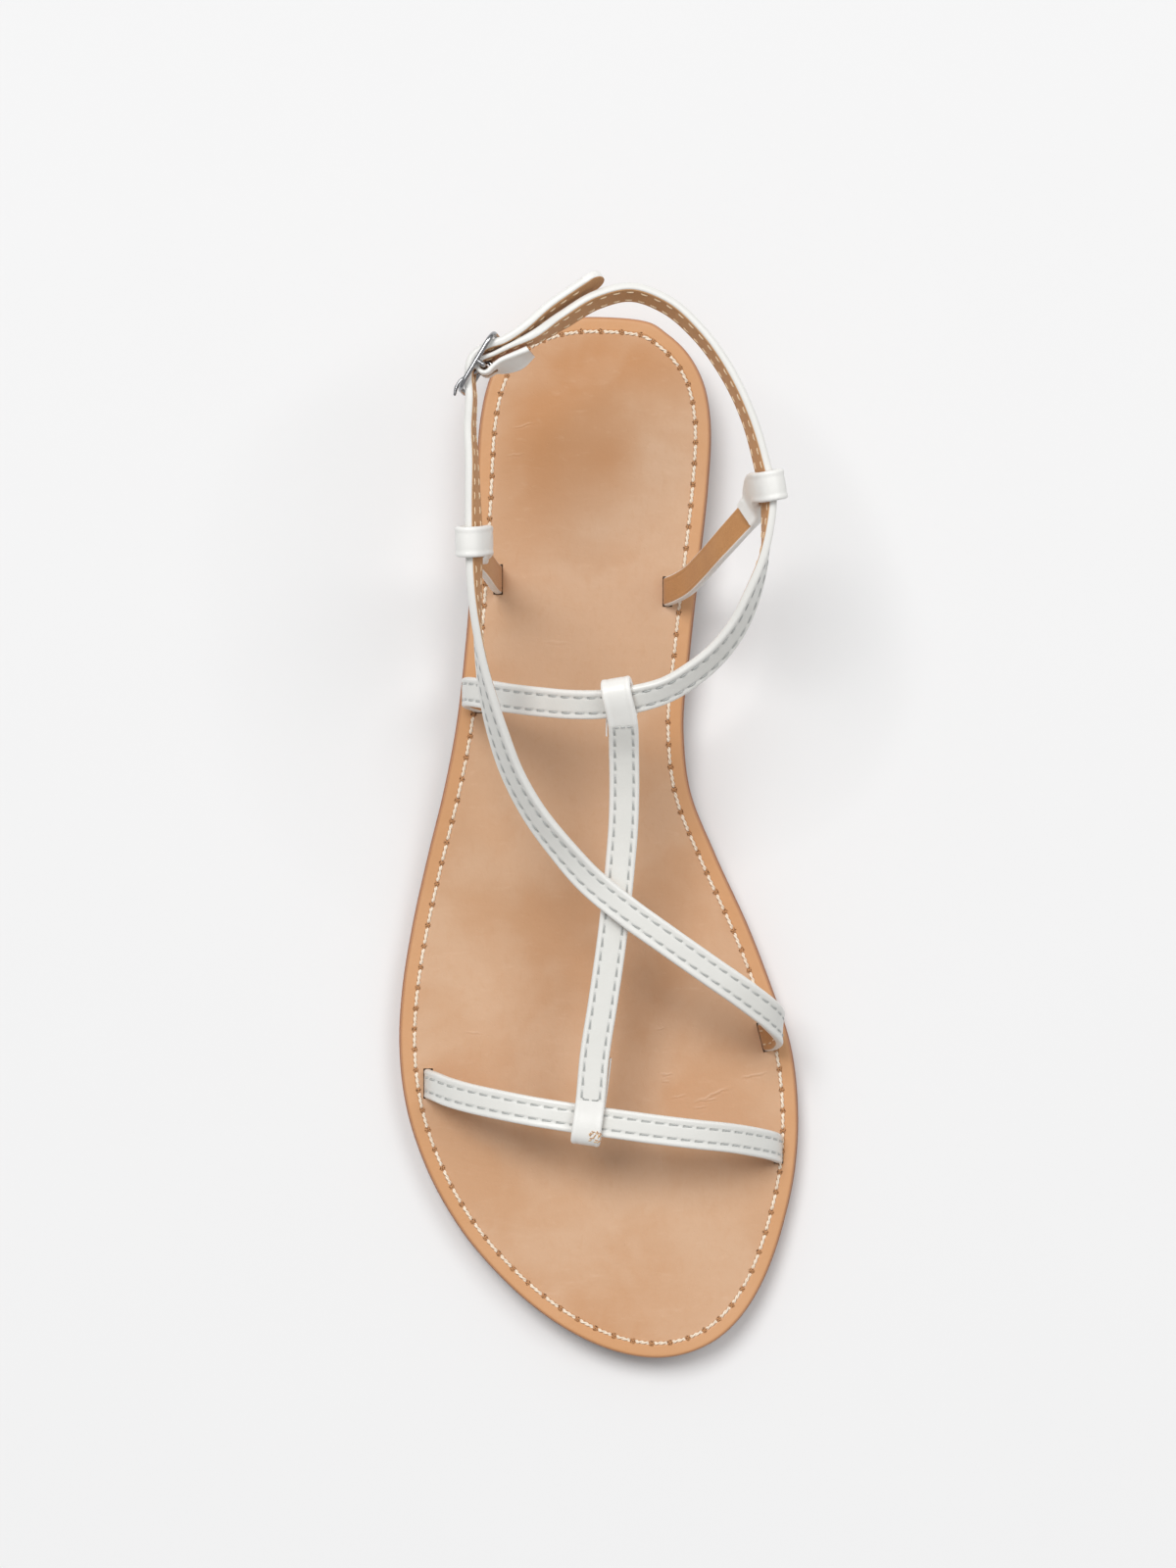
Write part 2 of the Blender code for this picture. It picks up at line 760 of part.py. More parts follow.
def wire(name, path, radius, up, group, closed=False):
    """A round wire along a path that nowhere runs along the up direction."""
    rings = []
    count = len(path)
    for i, place in enumerate(path):
        before = path[(i - 1) % count] if closed else path[max(i - 1, 0)]
        after = path[(i + 1) % count] if closed else path[min(i + 1, count - 1)]
        along = (after - before).normalized()
        side = along.cross(up).normalized()
        other = side.cross(along)
        turns = [2 * math.pi * (k + 0.5) / WIRE_SIDES for k in range(WIRE_SIDES)]
        rings.append([
            place + side * radius * math.cos(turn) + other * radius * math.sin(turn) for turn in turns
        ])
    return loft(name, rings, group, closed=closed)


def frame_path():
    half_length = FRAME_LENGTH / 2 - WIRE_RADIUS
    half_height = FRAME_HEIGHT / 2 - WIRE_RADIUS
    path = []
    for side, level, first in ((1, 1, 0), (-1, 1, 90), (-1, -1, 180), (1, -1, 270)):
        for turn in (0, 22.5, 45, 67.5, 90):
            angle = math.radians(first + turn)
            path.append(
                buckle_place(
                    side * (half_length - FRAME_CORNER) + FRAME_CORNER * math.cos(angle),
                    0.0,
                    level * (half_height - FRAME_CORNER) + FRAME_CORNER * math.sin(angle),
                )
            )
    return path


def bar_path():
    """From the frame's top to its bottom, bent in towards the foot between them."""
    top = FRAME_HEIGHT / 2 - WIRE_RADIUS
    upper = [(top, 0.0), ((top + BAR_STRAIGHT) / 2, BAR_SET_IN * BAR_BEND), (BAR_STRAIGHT, BAR_SET_IN)]
    lower = [(-height, depth) for height, depth in reversed(upper)]
    return [buckle_place(0.0, -depth, height) for height, depth in upper + lower]


def make_buckle_frame(group, cutters):
    along, out, _ = buckle_axes()
    frame = wire("buckle_frame", frame_path(), WIRE_RADIUS, out, group, closed=True)
    bar = wire("centre_bar", bar_path(), WIRE_RADIUS * JOIN_SHARE, along, cutters)
    bar.display_type = "WIRE"
    boolean(frame, bar, "UNION")
    return frame


def prong_arm():
    return [buckle_place(reach.along, reach.out) for reach in PRONG_ARM]


def make_prong(group, cutters):
    along, out, up = buckle_axes()
    turns = [2 * math.pi * i / PRONG_RING_SIDES for i in range(PRONG_RING_SIDES)]
    centre = buckle_place(0.0, -BAR_SET_IN)
    ring_path = [
        centre + (along * math.cos(turn) + out * math.sin(turn)) * PRONG_RING for turn in turns
    ]
    prong = wire("buckle_prong", ring_path, PRONG_RADIUS, up, group, closed=True)
    arm = wire("prong_arm", prong_arm(), PRONG_RADIUS * JOIN_SHARE, up, cutters)
    arm.display_type = "WIRE"
    boolean(prong, arm, "UNION")
    return prong


# Materials


def give_material(thing, name, colour, roughness, metallic=0.0):
    material = bpy.data.materials.new(name)
    material.use_nodes = True
    shader = material.node_tree.nodes["Principled BSDF"]
    shader.inputs["Base Color"].default_value = (*colour, 1.0)
    shader.inputs["Roughness"].default_value = roughness
    shader.inputs["Metallic"].default_value = metallic
    thing.data.materials.append(material)


WHITE_LEATHER = (0.80, 0.79, 0.76)
TAN_LEATHER = (0.66, 0.40, 0.24)
SOLE_BROWN = (0.45, 0.24, 0.14)
HEEL_BROWN = (0.40, 0.20, 0.11)
CHROME = (0.78, 0.78, 0.80)


def main():
    clear_scene()
    group = new_group("cross_strap_sandal")
    cutters = new_group("cutters", hidden=True)
    give_material(make_outsole(group), "outsole_leather", SOLE_BROWN, 0.6)
    give_material(make_heel(group), "heel_leather", HEEL_BROWN, 0.6)
    give_material(make_insole(group, cutters), "insole_leather", TAN_LEATHER, 0.55)
    for strap in make_straps(group, cutters):
        give_material(strap, f"{strap.name}_leather", WHITE_LEATHER, 0.4)
    give_material(make_buckle_frame(group, cutters), "frame_chrome", CHROME, 0.12, 1.0)
    give_material(make_prong(group, cutters), "prong_chrome", CHROME, 0.15, 1.0)
    for cutter in cutters.objects:
        cutter.hide_render = True


main()
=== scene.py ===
"""Looks of the cross strap sandal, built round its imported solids.

Every strap, the three sole layers and the buckle get a finer mesh of the same form, with folded
edges, a lining, sewn threads and leather made from nodes. Tables and sizes are in millimetres and
degrees. +Y points to the toe, +Z up, and -X is the side of the big toe.
"""

import math
from collections import namedtuple

import bmesh
import bpy
import numpy as np
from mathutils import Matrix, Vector


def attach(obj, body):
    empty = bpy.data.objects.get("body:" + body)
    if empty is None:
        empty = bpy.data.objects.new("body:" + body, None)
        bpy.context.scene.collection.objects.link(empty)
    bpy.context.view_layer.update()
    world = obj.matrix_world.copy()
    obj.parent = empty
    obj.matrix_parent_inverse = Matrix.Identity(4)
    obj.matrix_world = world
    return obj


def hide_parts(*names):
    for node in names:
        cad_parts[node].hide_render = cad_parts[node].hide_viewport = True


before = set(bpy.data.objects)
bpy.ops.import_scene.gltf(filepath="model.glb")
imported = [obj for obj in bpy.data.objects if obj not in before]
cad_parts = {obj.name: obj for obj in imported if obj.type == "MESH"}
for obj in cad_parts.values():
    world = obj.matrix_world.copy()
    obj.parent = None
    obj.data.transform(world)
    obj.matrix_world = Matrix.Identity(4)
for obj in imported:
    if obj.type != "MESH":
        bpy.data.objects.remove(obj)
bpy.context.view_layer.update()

MM = 0.001
GAP = 0.3
# Longer than anything here
FAR_END = 1000.0

# Sole
SOLE_LENGTH = 250.0
SOLE_MIDDLE_Y = 2.3
OUTSOLE_THICK = 3.5
INSOLE_THICK = 3.0
INSOLE_INSET = 0.4
HEEL_HEIGHT = 6.0
HEEL_INSET = 0.5
HEEL_FRONT_Y = -62.0
HEEL_LIFTS = 3
TOE_SPRING = 3.0
PROFILE_EASE = 9.0
SOLE_ROWS = 300
# The sole's rows of points gather on a spine inside, which is this share of its length and has
# this inset on the margin map.
SPINE_SHARE = 0.78
SPINE_INSET = 20.0
INNER_STEPS = 26
# How much each layer's upper edge is rounded, and how far in its top has rows of points: the
# insole has them close together by its margin stitch
INSOLE_EDGE = 0.7
OUTSOLE_EDGE = 0.5
HEEL_EDGE = 0.3
INSOLE_INSETS = (1.2, 1.9, 2.5, 2.9, 3.15, 3.4, 3.65, 3.9, 4.4, 5.0, 5.8)
PLAIN_INSETS = (1.0, 3.0)
# Where the insole dips round each slot, and how far
DIP_HALF_LENGTH = 3.2
DIP_HALF_WIDTH = 0.9
DIP_REACH = 1.2
DIP_DEPTH = 0.28

# Margin stitch of the insole
MARGIN_INSET = 3.4
MARGIN_STITCHES = 114
MARGIN_THREAD = 0.4
MARGIN_HOLE = 0.5
# A stitch is shorter than the pitch by this much, and lies this far above the leather's face.
MARGIN_SHORTER = 0.75
MARGIN_LIFT = 0.04
# Its two strands: their distance from its middle and their radius, in thread radii, and their turn
STRAND_OFFSET = 0.48
STRAND_RADIUS = 0.62
STRAND_SPIN = 0.9
# Beyond this share of its length from its middle it sinks, by so many thread radii at its ends.
SINK_FROM = 0.36
SINK_DEPTH = 1.54
# The short ties that cross each hole
TIE_LENGTH = 1.5
TIE_RADIUS = 0.2

# Straps
STRAP_WIDTH = 7.0
STRAP_THICK = 2.0
EDGE_RADIUS = 0.9
SLOT_MARGIN = 0.14
SLOT_RISE = 0.4
LOOP_EASE = 0.45
LOOP_DISTANCE = STRAP_THICK + LOOP_EASE
LOOP_STRAIGHT = STRAP_WIDTH / 2 - EDGE_RADIUS
FINE_STEP = 0.4
BAND_STEP = 0.8
TIP_ROUNDING = 3.0
TIP_STEPS = 12
# The tip's last ring stops just short of its end, so that it has a width.
TIP_END = 0.995
LOOP_TURNS = (-60, -30, 0, 30, 60)
HOLE_PITCH = 7.0
HOLE_RADIUS = 0.9
SPARE_HOLES = (-2, 2, 3)
CUT_SIDES = 24

# Strap stitches
STITCH_PITCH = 3.3
STITCH_LENGTH = 2.0
STITCH_RADIUS = 0.19
STITCH_SLANT = 0.2
LINING_STITCH_LENGTH = 1.9
LINING_STITCH_RADIUS = 0.2
THREAD_SIDES = 6
ROPE_STEPS = 12
# Stitches start this far along a strap from its end in the sole, and stop before its tip or fold
SEWN_START = 4.5
SEWN_BEFORE_TIP = 4.0
SEWN_BEFORE_FOLD = 13.0
# Half the distance between a strap's two rows
TOE_ROWS = 1.6
CENTRE_ROWS = 2.15
DIAGONAL_ROWS = 1.65
INSTEP_ROWS = 1.9
# How far out the rows lie on the white face (1) and on the lining (-1), in half thicknesses
ROW_LEVEL = {1: 0.80, -1: 0.93}
STITCH_LIFT = 0.35
# The short rows across a strap, and the share of their pitch that a stitch takes
CROSS_LEVEL = 0.97
CROSS_SHARE = 0.8
# The toe loop's tack: its spread, its stitches' length and level, and the turn between its colours
TACK_SPREAD = 0.8
TACK_LENGTH = 0.85
TACK_LEVEL = 0.96
TACK_LIFT = 0.05
TACK_TURN = 60.0
# A strap faces up where its outer face rises at least this much.
FACING_UP = 0.15

# Buckle, in its own directions: along runs to the heel, out away from the foot, up its height
BUCKLE_CENTRE = Vector((27.4, -106.7, 68.3))
BUCKLE_COMPASS = 239.0
BUCKLE_LEAN = 8.0
WIRE_RADIUS = 0.6
FRAME_LENGTH = 16.0
FRAME_HEIGHT = 11.5
FRAME_CORNER = 2.6
BAR_SET_IN = 1.8
BAR_STRAIGHT = 4.2
BAR_BEND = 0.7
FOLD_THICK = 1.2
WIRE_SIDES = 20
CORNER_STEPS = 13
BAR_STEPS = 41
BAR_SLIMMER = 0.95
PRONG_STEPS = 31
PRONG_RING_STEPS = 32
PRONG_END_LENGTH = 0.25
PRONG_END_RADIUS = 0.14
PRONG_RADIUS = 0.5
PRONG_RING = 1.4
PRONG_PLAY = 0.45
PRONG_OVERRUN = 1.5
PRONG_SLOT_HEIGHT = 1.7
PRONG_SLOT_LENGTH = 5.4

# Camera, straight above the insole, with the toe at the bottom of the picture
CAMERA_PLACE = (2.59, -10.70, 1250.0)
CAMERA_LENS = 118.8
CAMERA_SENSOR = 36.0
CAMERA_REACH = 20.0
FLOOR_HALF = 3000.0

# The studio's pale sky, and the band of heights in which it darkens to the horizon
HORIZON_TO_SKY = (0.05, 0.5)
HORIZON_COLOUR = (0.35, 0.35, 0.36)
SKY_COLOUR = (0.94, 0.94, 0.945)
SKY_STRENGTH = 0.448

Edge = namedtuple("Edge", "y medial lateral")
SOLE_OUTLINE = (
    Edge(-125.0, 2.0, 2.0),
    Edge(-124.3, -9.5, 9.0),
    Edge(-120.9, -16.5, 18.0),
    Edge(-115.5, -21.9, 23.6),
    Edge(-108.0, -25.5, 26.9),
    Edge(-100.0, -26.8, 28.5),
    Edge(-83.6, -26.2, 29.5),
    Edge(-69.5, -24.7, 30.3),
    Edge(-46.4, -22.1, 32.0),
    Edge(-25.0, -20.4, 34.6),
    Edge(-11.0, -22.1, 37.4),
    Edge(3.5, -27.9, 41.0),
    Edge(21.9, -36.3, 45.1),
    Edge(36.5, -41.9, 47.4),
    Edge(48.0, -45.8, 48.1),
    Edge(64.8, -48.0, 46.4),
    Edge(79.0, -47.4, 41.8),
    Edge(93.0, -44.5, 34.2),
    Edge(107.2, -39.3, 22.1),
    Edge(116.6, -33.0, 10.4),
    Edge(121.0, -27.8, 2.5),
    Edge(124.0, -21.0, -6.0),
    Edge(125.0, -14.0, -14.0),
)

# Height of the outsole's underside along the foot
Rise = namedtuple("Rise", "y height")
SOLE_PROFILE = (
    Rise(-125.0, HEEL_HEIGHT + GAP),
    Rise(-51.0, HEEL_HEIGHT + GAP),
    Rise(-38.0, 5.1),
    Rise(-10.0, 2.2),
    Rise(10.0, 0.5),
    Rise(24.0, 0.0),
    Rise(90.0, 0.0),
    Rise(108.0, 0.9),
    Rise(125.0, TOE_SPRING),
)

# Where each strap leaves the insole. The compass is the way its width runs.
Slot = namedtuple("Slot", "x y compass")
SLOTS = {
    "toe_lateral": Slot(41.0, 61.3, 90),
    "toe_medial": Slot(-43.2, 76.9, 90),
    "diagonal": Slot(-39.8, 50.0, 284),
    "instep": Slot(28.7, -31.3, 90),
    "medial_tab": Slot(-16.4, -56.7, 270),
    "lateral_tab": Slot(24.1, -59.6, 90),
}

# A strap's path. Compass and rise give the way its width runs: 0 is +X, 90 is +Y, and a rise of
# 90 is straight up.
Row = namedtuple("Row", "x y z compass rise")
TOE_STRAP = (
    Row(39.4, 61.6, 11.6, 89, 0),
    Row(36.0, 62.7, 16.0, 87, 0),
    Row(31.0, 63.9, 20.2, 85, 0),
    Row(24.0, 65.2, 24.3, 83, 0),
    Row(16.0, 66.6, 27.2, 81, 0),
    Row(6.0, 68.1, 28.8, 81, 0),
    Row(-4.0, 69.5, 29.2, 81, 0),
    Row(-14.0, 70.9, 28.7, 81, 0),
    Row(-23.0, 72.1, 26.8, 82, 0),
    Row(-31.0, 73.2, 23.0, 83, 0),
    Row(-37.5, 74.6, 17.8, 85, 0),
    Row(-41.6, 75.9, 12.2, 88, 0),
)
CENTRE_STRAP = (
    Row(1.0, 53.0, 32.0, 173, 0),
    Row(-0.9, 40.8, 32.8, 172, 0),
    Row(-3.1, 25.3, 34.2, 173, 0),
    Row(-4.1, 16.8, 35.1, 174, 0),
    Row(-4.9, 8.8, 36.1, 175, 0),
    Row(-5.7, -1.5, 37.8, 177, 0),
    Row(-5.9, -10.2, 40.0, 180, 0),
    Row(-5.8, -17.1, 42.8, 182, 0),
)
DIAGONAL_STRAP = (
    Row(-41.6, 49.4, 12.6, 281, 0),
    Row(-42.9, 47.4, 18.6, 266, 0),
    Row(-40.8, 44.2, 25.0, 250, 0),
    Row(-35.2, 39.6, 30.2, 238, 0),
    Row(-26.0, 33.1, 34.0, 234, -4),
    Row(-16.0, 26.0, 36.4, 232, -2),
    Row(-6.6, 19.2, 37.6, 230, 2),
    Row(2.6, 11.5, 38.6, 227, 16),
    Row(8.7, 4.6, 40.8, 221, 32),
    Row(15.0, -3.7, 44.2, 213, 44),
    Row(20.1, -13.1, 48.5, 204, 52),
    Row(23.6, -23.2, 53.4, 196, 58),
    Row(25.6, -31.0, 57.0, 190, 68),
    Row(26.9, -37.7, 59.9, 186, 79),
    Row(28.0, -46.7, 63.3, 183, 92),
    Row(28.5, -55.5, 66.0, 181, 104),
    Row(28.6, -66.2, 67.6, 180, 112),
    Row(28.9, -75.6, 68.2, 180, 108),
    Row(29.1, -84.5, 68.4, 176, 102),
    Row(29.5, -92.0, 68.4, 168, 99),
)
DIAGONAL_TIP = (
    Row(10.9, -119.3, 67.9, 120, 107),
    Row(5.0, -123.3, 67.7, 119, 109),
    Row(-0.6, -126.9, 67.5, 118, 111),
)
INSTEP_HEEL_STRAP = (
    Row(31.4, -32.2, 15.8, 90, 0),
    Row(31.0, -32.6, 22.0, 90, 0),
    Row(27.2, -32.0, 28.8, 90, -5),
    Row(22.5, -31.1, 34.0, 92, -8),
    Row(13.8, -29.9, 41.0, 92, -12),
    Row(5.6, -29.2, 45.3, 92, -18),
    Row(-1.3, -29.3, 47.6, 94, -23),
    Row(-8.6, -30.5, 48.8, 100, -30),
    Row(-15.6, -32.6, 49.4, 112, -38),
    Row(-21.5, -36.1, 50.5, 124, -43),
    Row(-26.9, -40.6, 52.0, 134, -50),
    Row(-31.8, -46.9, 54.3, 146, -58),
    Row(-35.4, -54.8, 57.0, 156, -68),
    Row(-37.8, -62.6, 58.7, 166, -84),
    Row(-38.7, -69.3, 59.6, 174, -98),
    Row(-38.8, -77.2, 60.2, 181, -110),
    Row(-37.2, -85.0, 60.7, 190, -109),
    Row(-34.6, -94.0, 61.4, 197, -106),
    Row(-29.9, -104.2, 62.4, 210, -106),
    Row(-22.9, -114.0, 63.5, 226, -108),
    Row(-15.2, -120.6, 64.4, 247, -111),
    Row(-7.2, -123.3, 65.2, 270, -112),
    Row(0.4, -121.5, 66.0, 286, -112),
    Row(8.5, -116.7, 66.9, 302, -109),
)
MEDIAL_TAB = (
    Row(-18.0, -57.2, 17.2, 272, -4),
    Row(-21.1, -58.8, 23.0, 276, -10),
    Row(-24.5, -62.0, 31.0, 278, -12),
    Row(-28.7, -66.6, 40.6, 278, -12),
    Row(-34.2, -72.6, 47.6, 277, -8),
    Row(-38.6, -77.4, 52.4, 281, 0),
)
LATERAL_TAB = (
    Row(24.6, -59.9, 19.0, 90, 0),
    Row(25.4, -60.8, 30.0, 90, 0),
    Row(26.6, -62.4, 42.0, 90, 0),
    Row(28.9, -65.0, 54.0, 90, 0),
)

# Through the buckle, in its own directions
Pass = namedtuple("Pass", "along out thick", defaults=(STRAP_THICK,))
DIAGONAL_IN_BUCKLE = (
    Pass(-7.4, -2.3),
    Pass(-3.6, 0.3),
    Pass(0.0, 1.65),
    Pass(3.7, 0.5),
    Pass(7.4, -2.6),
    Pass(11.0, -4.5),
)
HEEL_TO_BUCKLE = (
    Pass(11.0, -7.4),
    Pass(7.4, -4.95, 1.4),
    Pass(3.7, -2.5, FOLD_THICK),
)

# The folded-back end of a strap: how far it is away across its host, how far apart from the
# strap that it is sewn to, how much more it leans, how far aside it is and how thick
Fold = namedtuple("Fold", "away apart lean aside thick", defaults=(STRAP_THICK,))
FRONT_FOLD = (
    Fold(6.5, 3.7, 0, 0.3),
    Fold(9.5, 2.6, 0, 0.5),
    Fold(15.0, 2.35, 0, 0.6),
)
REAR_FOLD = (
    Fold(6.2, 3.6, 0, -0.4),
    Fold(9.4, 2.5, 0, -0.6),
)
MEDIAL_TAB_FOLD = (
    Fold(7.4, 4.1, 0, -0.3),
    Fold(9.6, 3.3, 0, -0.7),
    Fold(11.8, 2.7, 0, -1.1),
)
LATERAL_TAB_FOLD = (
    Fold(6.2, 3.9, 0, 0.0),
    Fold(9.0, 2.9, 0, 0.0),
    Fold(12.5, 2.4, 0, 0.0),
)
BUCKLE_FOLD = (
    Fold(3.2, 2.8, 16, 0, FOLD_THICK),
    Fold(6.5, 3.2, 22, 0, 1.4),
    Fold(9.5, 2.6, 6, 0, 1.6),
)

# Where each sewn loop goes round the strap that carries it
Crossing = namedtuple("Crossing", "x y")
FRONT_CROSSING = Crossing(2.6, 68.7)
REAR_CROSSING = Crossing(-4.9, -29.8)
MEDIAL_CROSSING = Crossing(-38.7, -79.2)
LATERAL_CROSSING = Crossing(28.3, -66.2)

# Where the centre strap's rows of stitches end, and where the toe loop is closed by hand
FRONT_ROW_END = Crossing(2.0, 63.6)
REAR_ROW_END = Crossing(-5.6, -24.4)
TACK_PLACE = Crossing(1.0, 72.3)

# The prong's arm, from its ring on the bar, out through the strap and over the frame's front end
Reach = namedtuple("Reach", "along out radius")
PRONG_ARM = (
    Reach(-1.0, -0.9, 0.48),
    Reach(-3.1, 0.45, 0.48),
    Reach(-5.2, 1.55, 0.47),
    Reach(-6.4, 1.75, 0.45),
    Reach(-7.6, 1.7, 0.42),
    Reach(-9.0, 1.2, 0.32),
)

# Half of a strap's section, from the middle of its white face to the middle of its lining, as
# shares of half the width and half the thickness
Bead = namedtuple("Bead", "across out leather", defaults=("white",))
BAND_PROFILE = (
    Bead(0.0, 0.94),
    Bead(0.2, 0.94),
    Bead(0.36, 0.93),
    Bead(0.46, 0.90),
    Bead(0.54, 0.89),
    Bead(0.62, 0.90),
    Bead(0.69, 0.94),
    Bead(0.76, 0.98),
    Bead(0.82, 0.98),
    Bead(0.88, 0.93),
    Bead(0.935, 0.80),
    Bead(0.975, 0.58),
    Bead(0.995, 0.30),
    Bead(1.0, 0.0),
    Bead(0.99, -0.32),
    Bead(0.965, -0.60),
    Bead(0.93, -0.78),
    Bead(0.89, -0.84),
    Bead(0.865, -0.80, "lining"),
    Bead(0.85, -0.92, "lining"),
    Bead(0.82, -0.98, "lining"),
    Bead(0.70, -0.99, "lining"),
    Bead(0.63, -0.95, "lining"),
    Bead(0.60, -0.93, "lining"),
    Bead(0.57, -0.95, "lining"),
    Bead(0.45, -0.99, "lining"),
    Bead(0.0, -0.99, "lining"),
)

# The insole's soft uneven tone, with painted shadow from the straps and painted light where they shade it:
# how much darker or lighter each patch is
Patch = namedtuple("Patch", "x y radius_x radius_y depth")
TONE_AND_SHADE_PATCHES = (
    Patch(2.0, -100.0, 27.0, 26.0, 0.3),
    Patch(-4.0, -113.6, 20.0, 9.0, 0.9),
    Patch(8.4, -104.0, 15.0, 9.0, 0.35),
    Patch(15.5, -92.7, 9.0, 13.0, 0.6),
    Patch(-2.6, -88.5, 8.0, 6.0, 0.5),
    Patch(13.0, -76.0, 11.0, 14.0, 0.4),
    Patch(-13.8, -85.7, 7.0, 16.0, -0.5),
    Patch(2.6, -71.6, 14.0, 10.0, -0.4),
    Patch(4.0, -52.0, 22.0, 16.0, -0.6),
    Patch(-9.0, -60.0, 14.0, 10.0, 0.3),
    Patch(14.0, 12.0, 12.0, 34.0, 0.3),
    Patch(14.0, -18.0, 20.0, 24.0, -0.9),
    Patch(-14.0, 42.0, 22.0, 22.0, 0.1),
    Patch(24.0, 46.0, 14.0, 20.0, -0.05),
    Patch(-9.0, 115.0, 26.0, 13.0, 0.7),
    Patch(-18.0, 88.0, 26.0, 16.0, -0.5),
    Patch(14.0, 84.0, 20.0, 14.0, 0.2),
    Patch(-10.0, 62.0, 10.0, 8.0, 0.2),
)

# Fine creases of the insole, each a trough beside a low ridge, with painted shade in the trough and a
# painted highlight on the ridge
Crease = namedtuple("Crease", "x y compass length width depth")
CREASES = (
    Crease(-37.5, 59.6, 193, 8.0, 0.30, 0.9),
    Crease(-27.2, 64.5, 202, 11.5, 0.32, 1.0),
    Crease(-26.0, 65.5, 187, 6.0, 0.26, 0.8),
    Crease(-24.3, 67.4, 187, 4.5, 0.24, 0.6),
    Crease(-19.2, 64.8, 190, 5.0, 0.24, 0.6),
    Crease(-16.3, 59.4, 188, 3.6, 0.26, 0.8),
    Crease(-16.0, 61.2, 176, 2.4, 0.28, 0.6),
    Crease(-14.8, 48.5, 200, 3.0, 0.28, 0.5),
    Crease(30.0, 49.5, 172, 5.0, 0.24, 0.5),
    Crease(18.0, -96.0, 194, 6.5, 0.26, 0.6),
    Crease(20.0, -89.0, 188, 5.5, 0.24, 0.5),
    Crease(10.0, -44.0, 176, 9.0, 0.30, 0.4),
)

Knot = namedtuple("Knot", "place width thick")
Station = namedtuple("Station", "place along width out thick")


# Curves


def direction(compass, rise):
    turn, lift = math.radians(compass), math.radians(rise)
    return Vector((math.cos(lift) * math.cos(turn), math.cos(lift) * math.sin(turn), math.sin(lift)))


def hermite(before, after, slope_before, slope_after, span, share):
    """Cubic from one value to the next, with a slope at each end."""
    squared, cubed = share * share, share * share * share
    return (
        (2 * cubed - 3 * squared + 1) * before
        + (cubed - 2 * squared + share) * span * slope_before
        + (3 * squared - 2 * cubed) * after
        + (cubed - squared) * span * slope_after
    )


def slopes(places, values):
    """Slope of a smooth curve at each place, which may be unevenly spaced."""
    steps = np.diff(places)[:, None]
    secants = np.diff(values, axis=0) / steps
    inner = (secants[:-1] * steps[1:] + secants[1:] * steps[:-1]) / (steps[:-1] + steps[1:])
    return np.vstack([secants[:1], inner, secants[-1:]])


def smooth(places, values, wanted):
    """Values of a smooth curve through the given ones, at each wanted place."""
    places = np.asarray(places, float)
    values = np.asarray(values, float).reshape(len(places), -1)
    slope = slopes(places, values)
    found = []
    for place in wanted:
        before = min(max(int(np.searchsorted(places, place)) - 1, 0), len(places) - 2)
        span = places[before + 1] - places[before]
        share = (place - places[before]) / span
        ends = values[before], values[before + 1], slope[before], slope[before + 1]
        found.append(hermite(*ends, span, share))
    return np.array(found)


def walked(places):
    """Distance walked along a row of places, at each of them."""
    steps = np.linalg.norm(np.diff(np.array(places, float), axis=0), axis=1)
    return np.concatenate([[0.0], np.cumsum(steps)])


def lengths_of(things):
    """Distance walked along a row of knots or stations, at each of them."""
    return walked([tuple(thing.place) for thing in things])


# Meshes


def link_object(name, data):
    thing = bpy.data.objects.new(name, data)
    bpy.context.scene.collection.objects.link(thing)
    return thing


def add_object(name, points, faces, materials, face_materials=None, smooth_faces=True):
    """A mesh object from points in millimetres."""
    data = bpy.data.meshes.new(name)
    data.from_pydata([tuple(c * MM for c in point) for point in points], [], faces)
    for material in materials:
        data.materials.append(material)
    if face_materials is not None:
        data.polygons.foreach_set("material_index", face_materials)
    data.polygons.foreach_set("use_smooth", [smooth_faces] * len(data.polygons))
    data.update()
    return link_object(name, data)


def tidy_mesh(thing, sharp=50, merge=0.002):
    """Joins points that coincide and turns every face outwards."""
    mesh = bmesh.new()
    mesh.from_mesh(thing.data)
    bmesh.ops.remove_doubles(mesh, verts=mesh.verts, dist=merge * MM)
    bmesh.ops.dissolve_degenerate(mesh, edges=mesh.edges, dist=1e-7)
    bmesh.ops.recalc_face_normals(mesh, faces=mesh.faces)
    mesh.to_mesh(thing.data)
    mesh.free()
    thing.data.set_sharp_from_angle(angle=math.radians(sharp))


def set_map(thing, name, places):
    """A UV map that holds two values for each point."""
    layer = thing.data.uv_layers.new(name=name)
    for loop in thing.data.loops:
        layer.data[loop.index].uv = places[loop.vertex_index]


def set_values(thing, name, values):
    thing.data.attributes.new(name, "FLOAT", "POINT").data.foreach_set("value", values)


def cut_out(thing, cutters):
    """Cuts the shapes out of a mesh and removes them."""
    for cutter in cutters:
        modifier = thing.modifiers.new(cutter.name, "BOOLEAN")
        modifier.operation = "DIFFERENCE"
        modifier.solver = "EXACT"
        modifier.object = cutter
    graph = bpy.context.evaluated_depsgraph_get()
    made = bpy.data.meshes.new_from_object(thing.evaluated_get(graph))
    old = thing.data
    thing.modifiers.clear()
    thing.data = made
    made.name = old.name
    bpy.data.meshes.remove(old)
    for cutter in cutters:
        bpy.data.objects.remove(cutter, do_unlink=True)


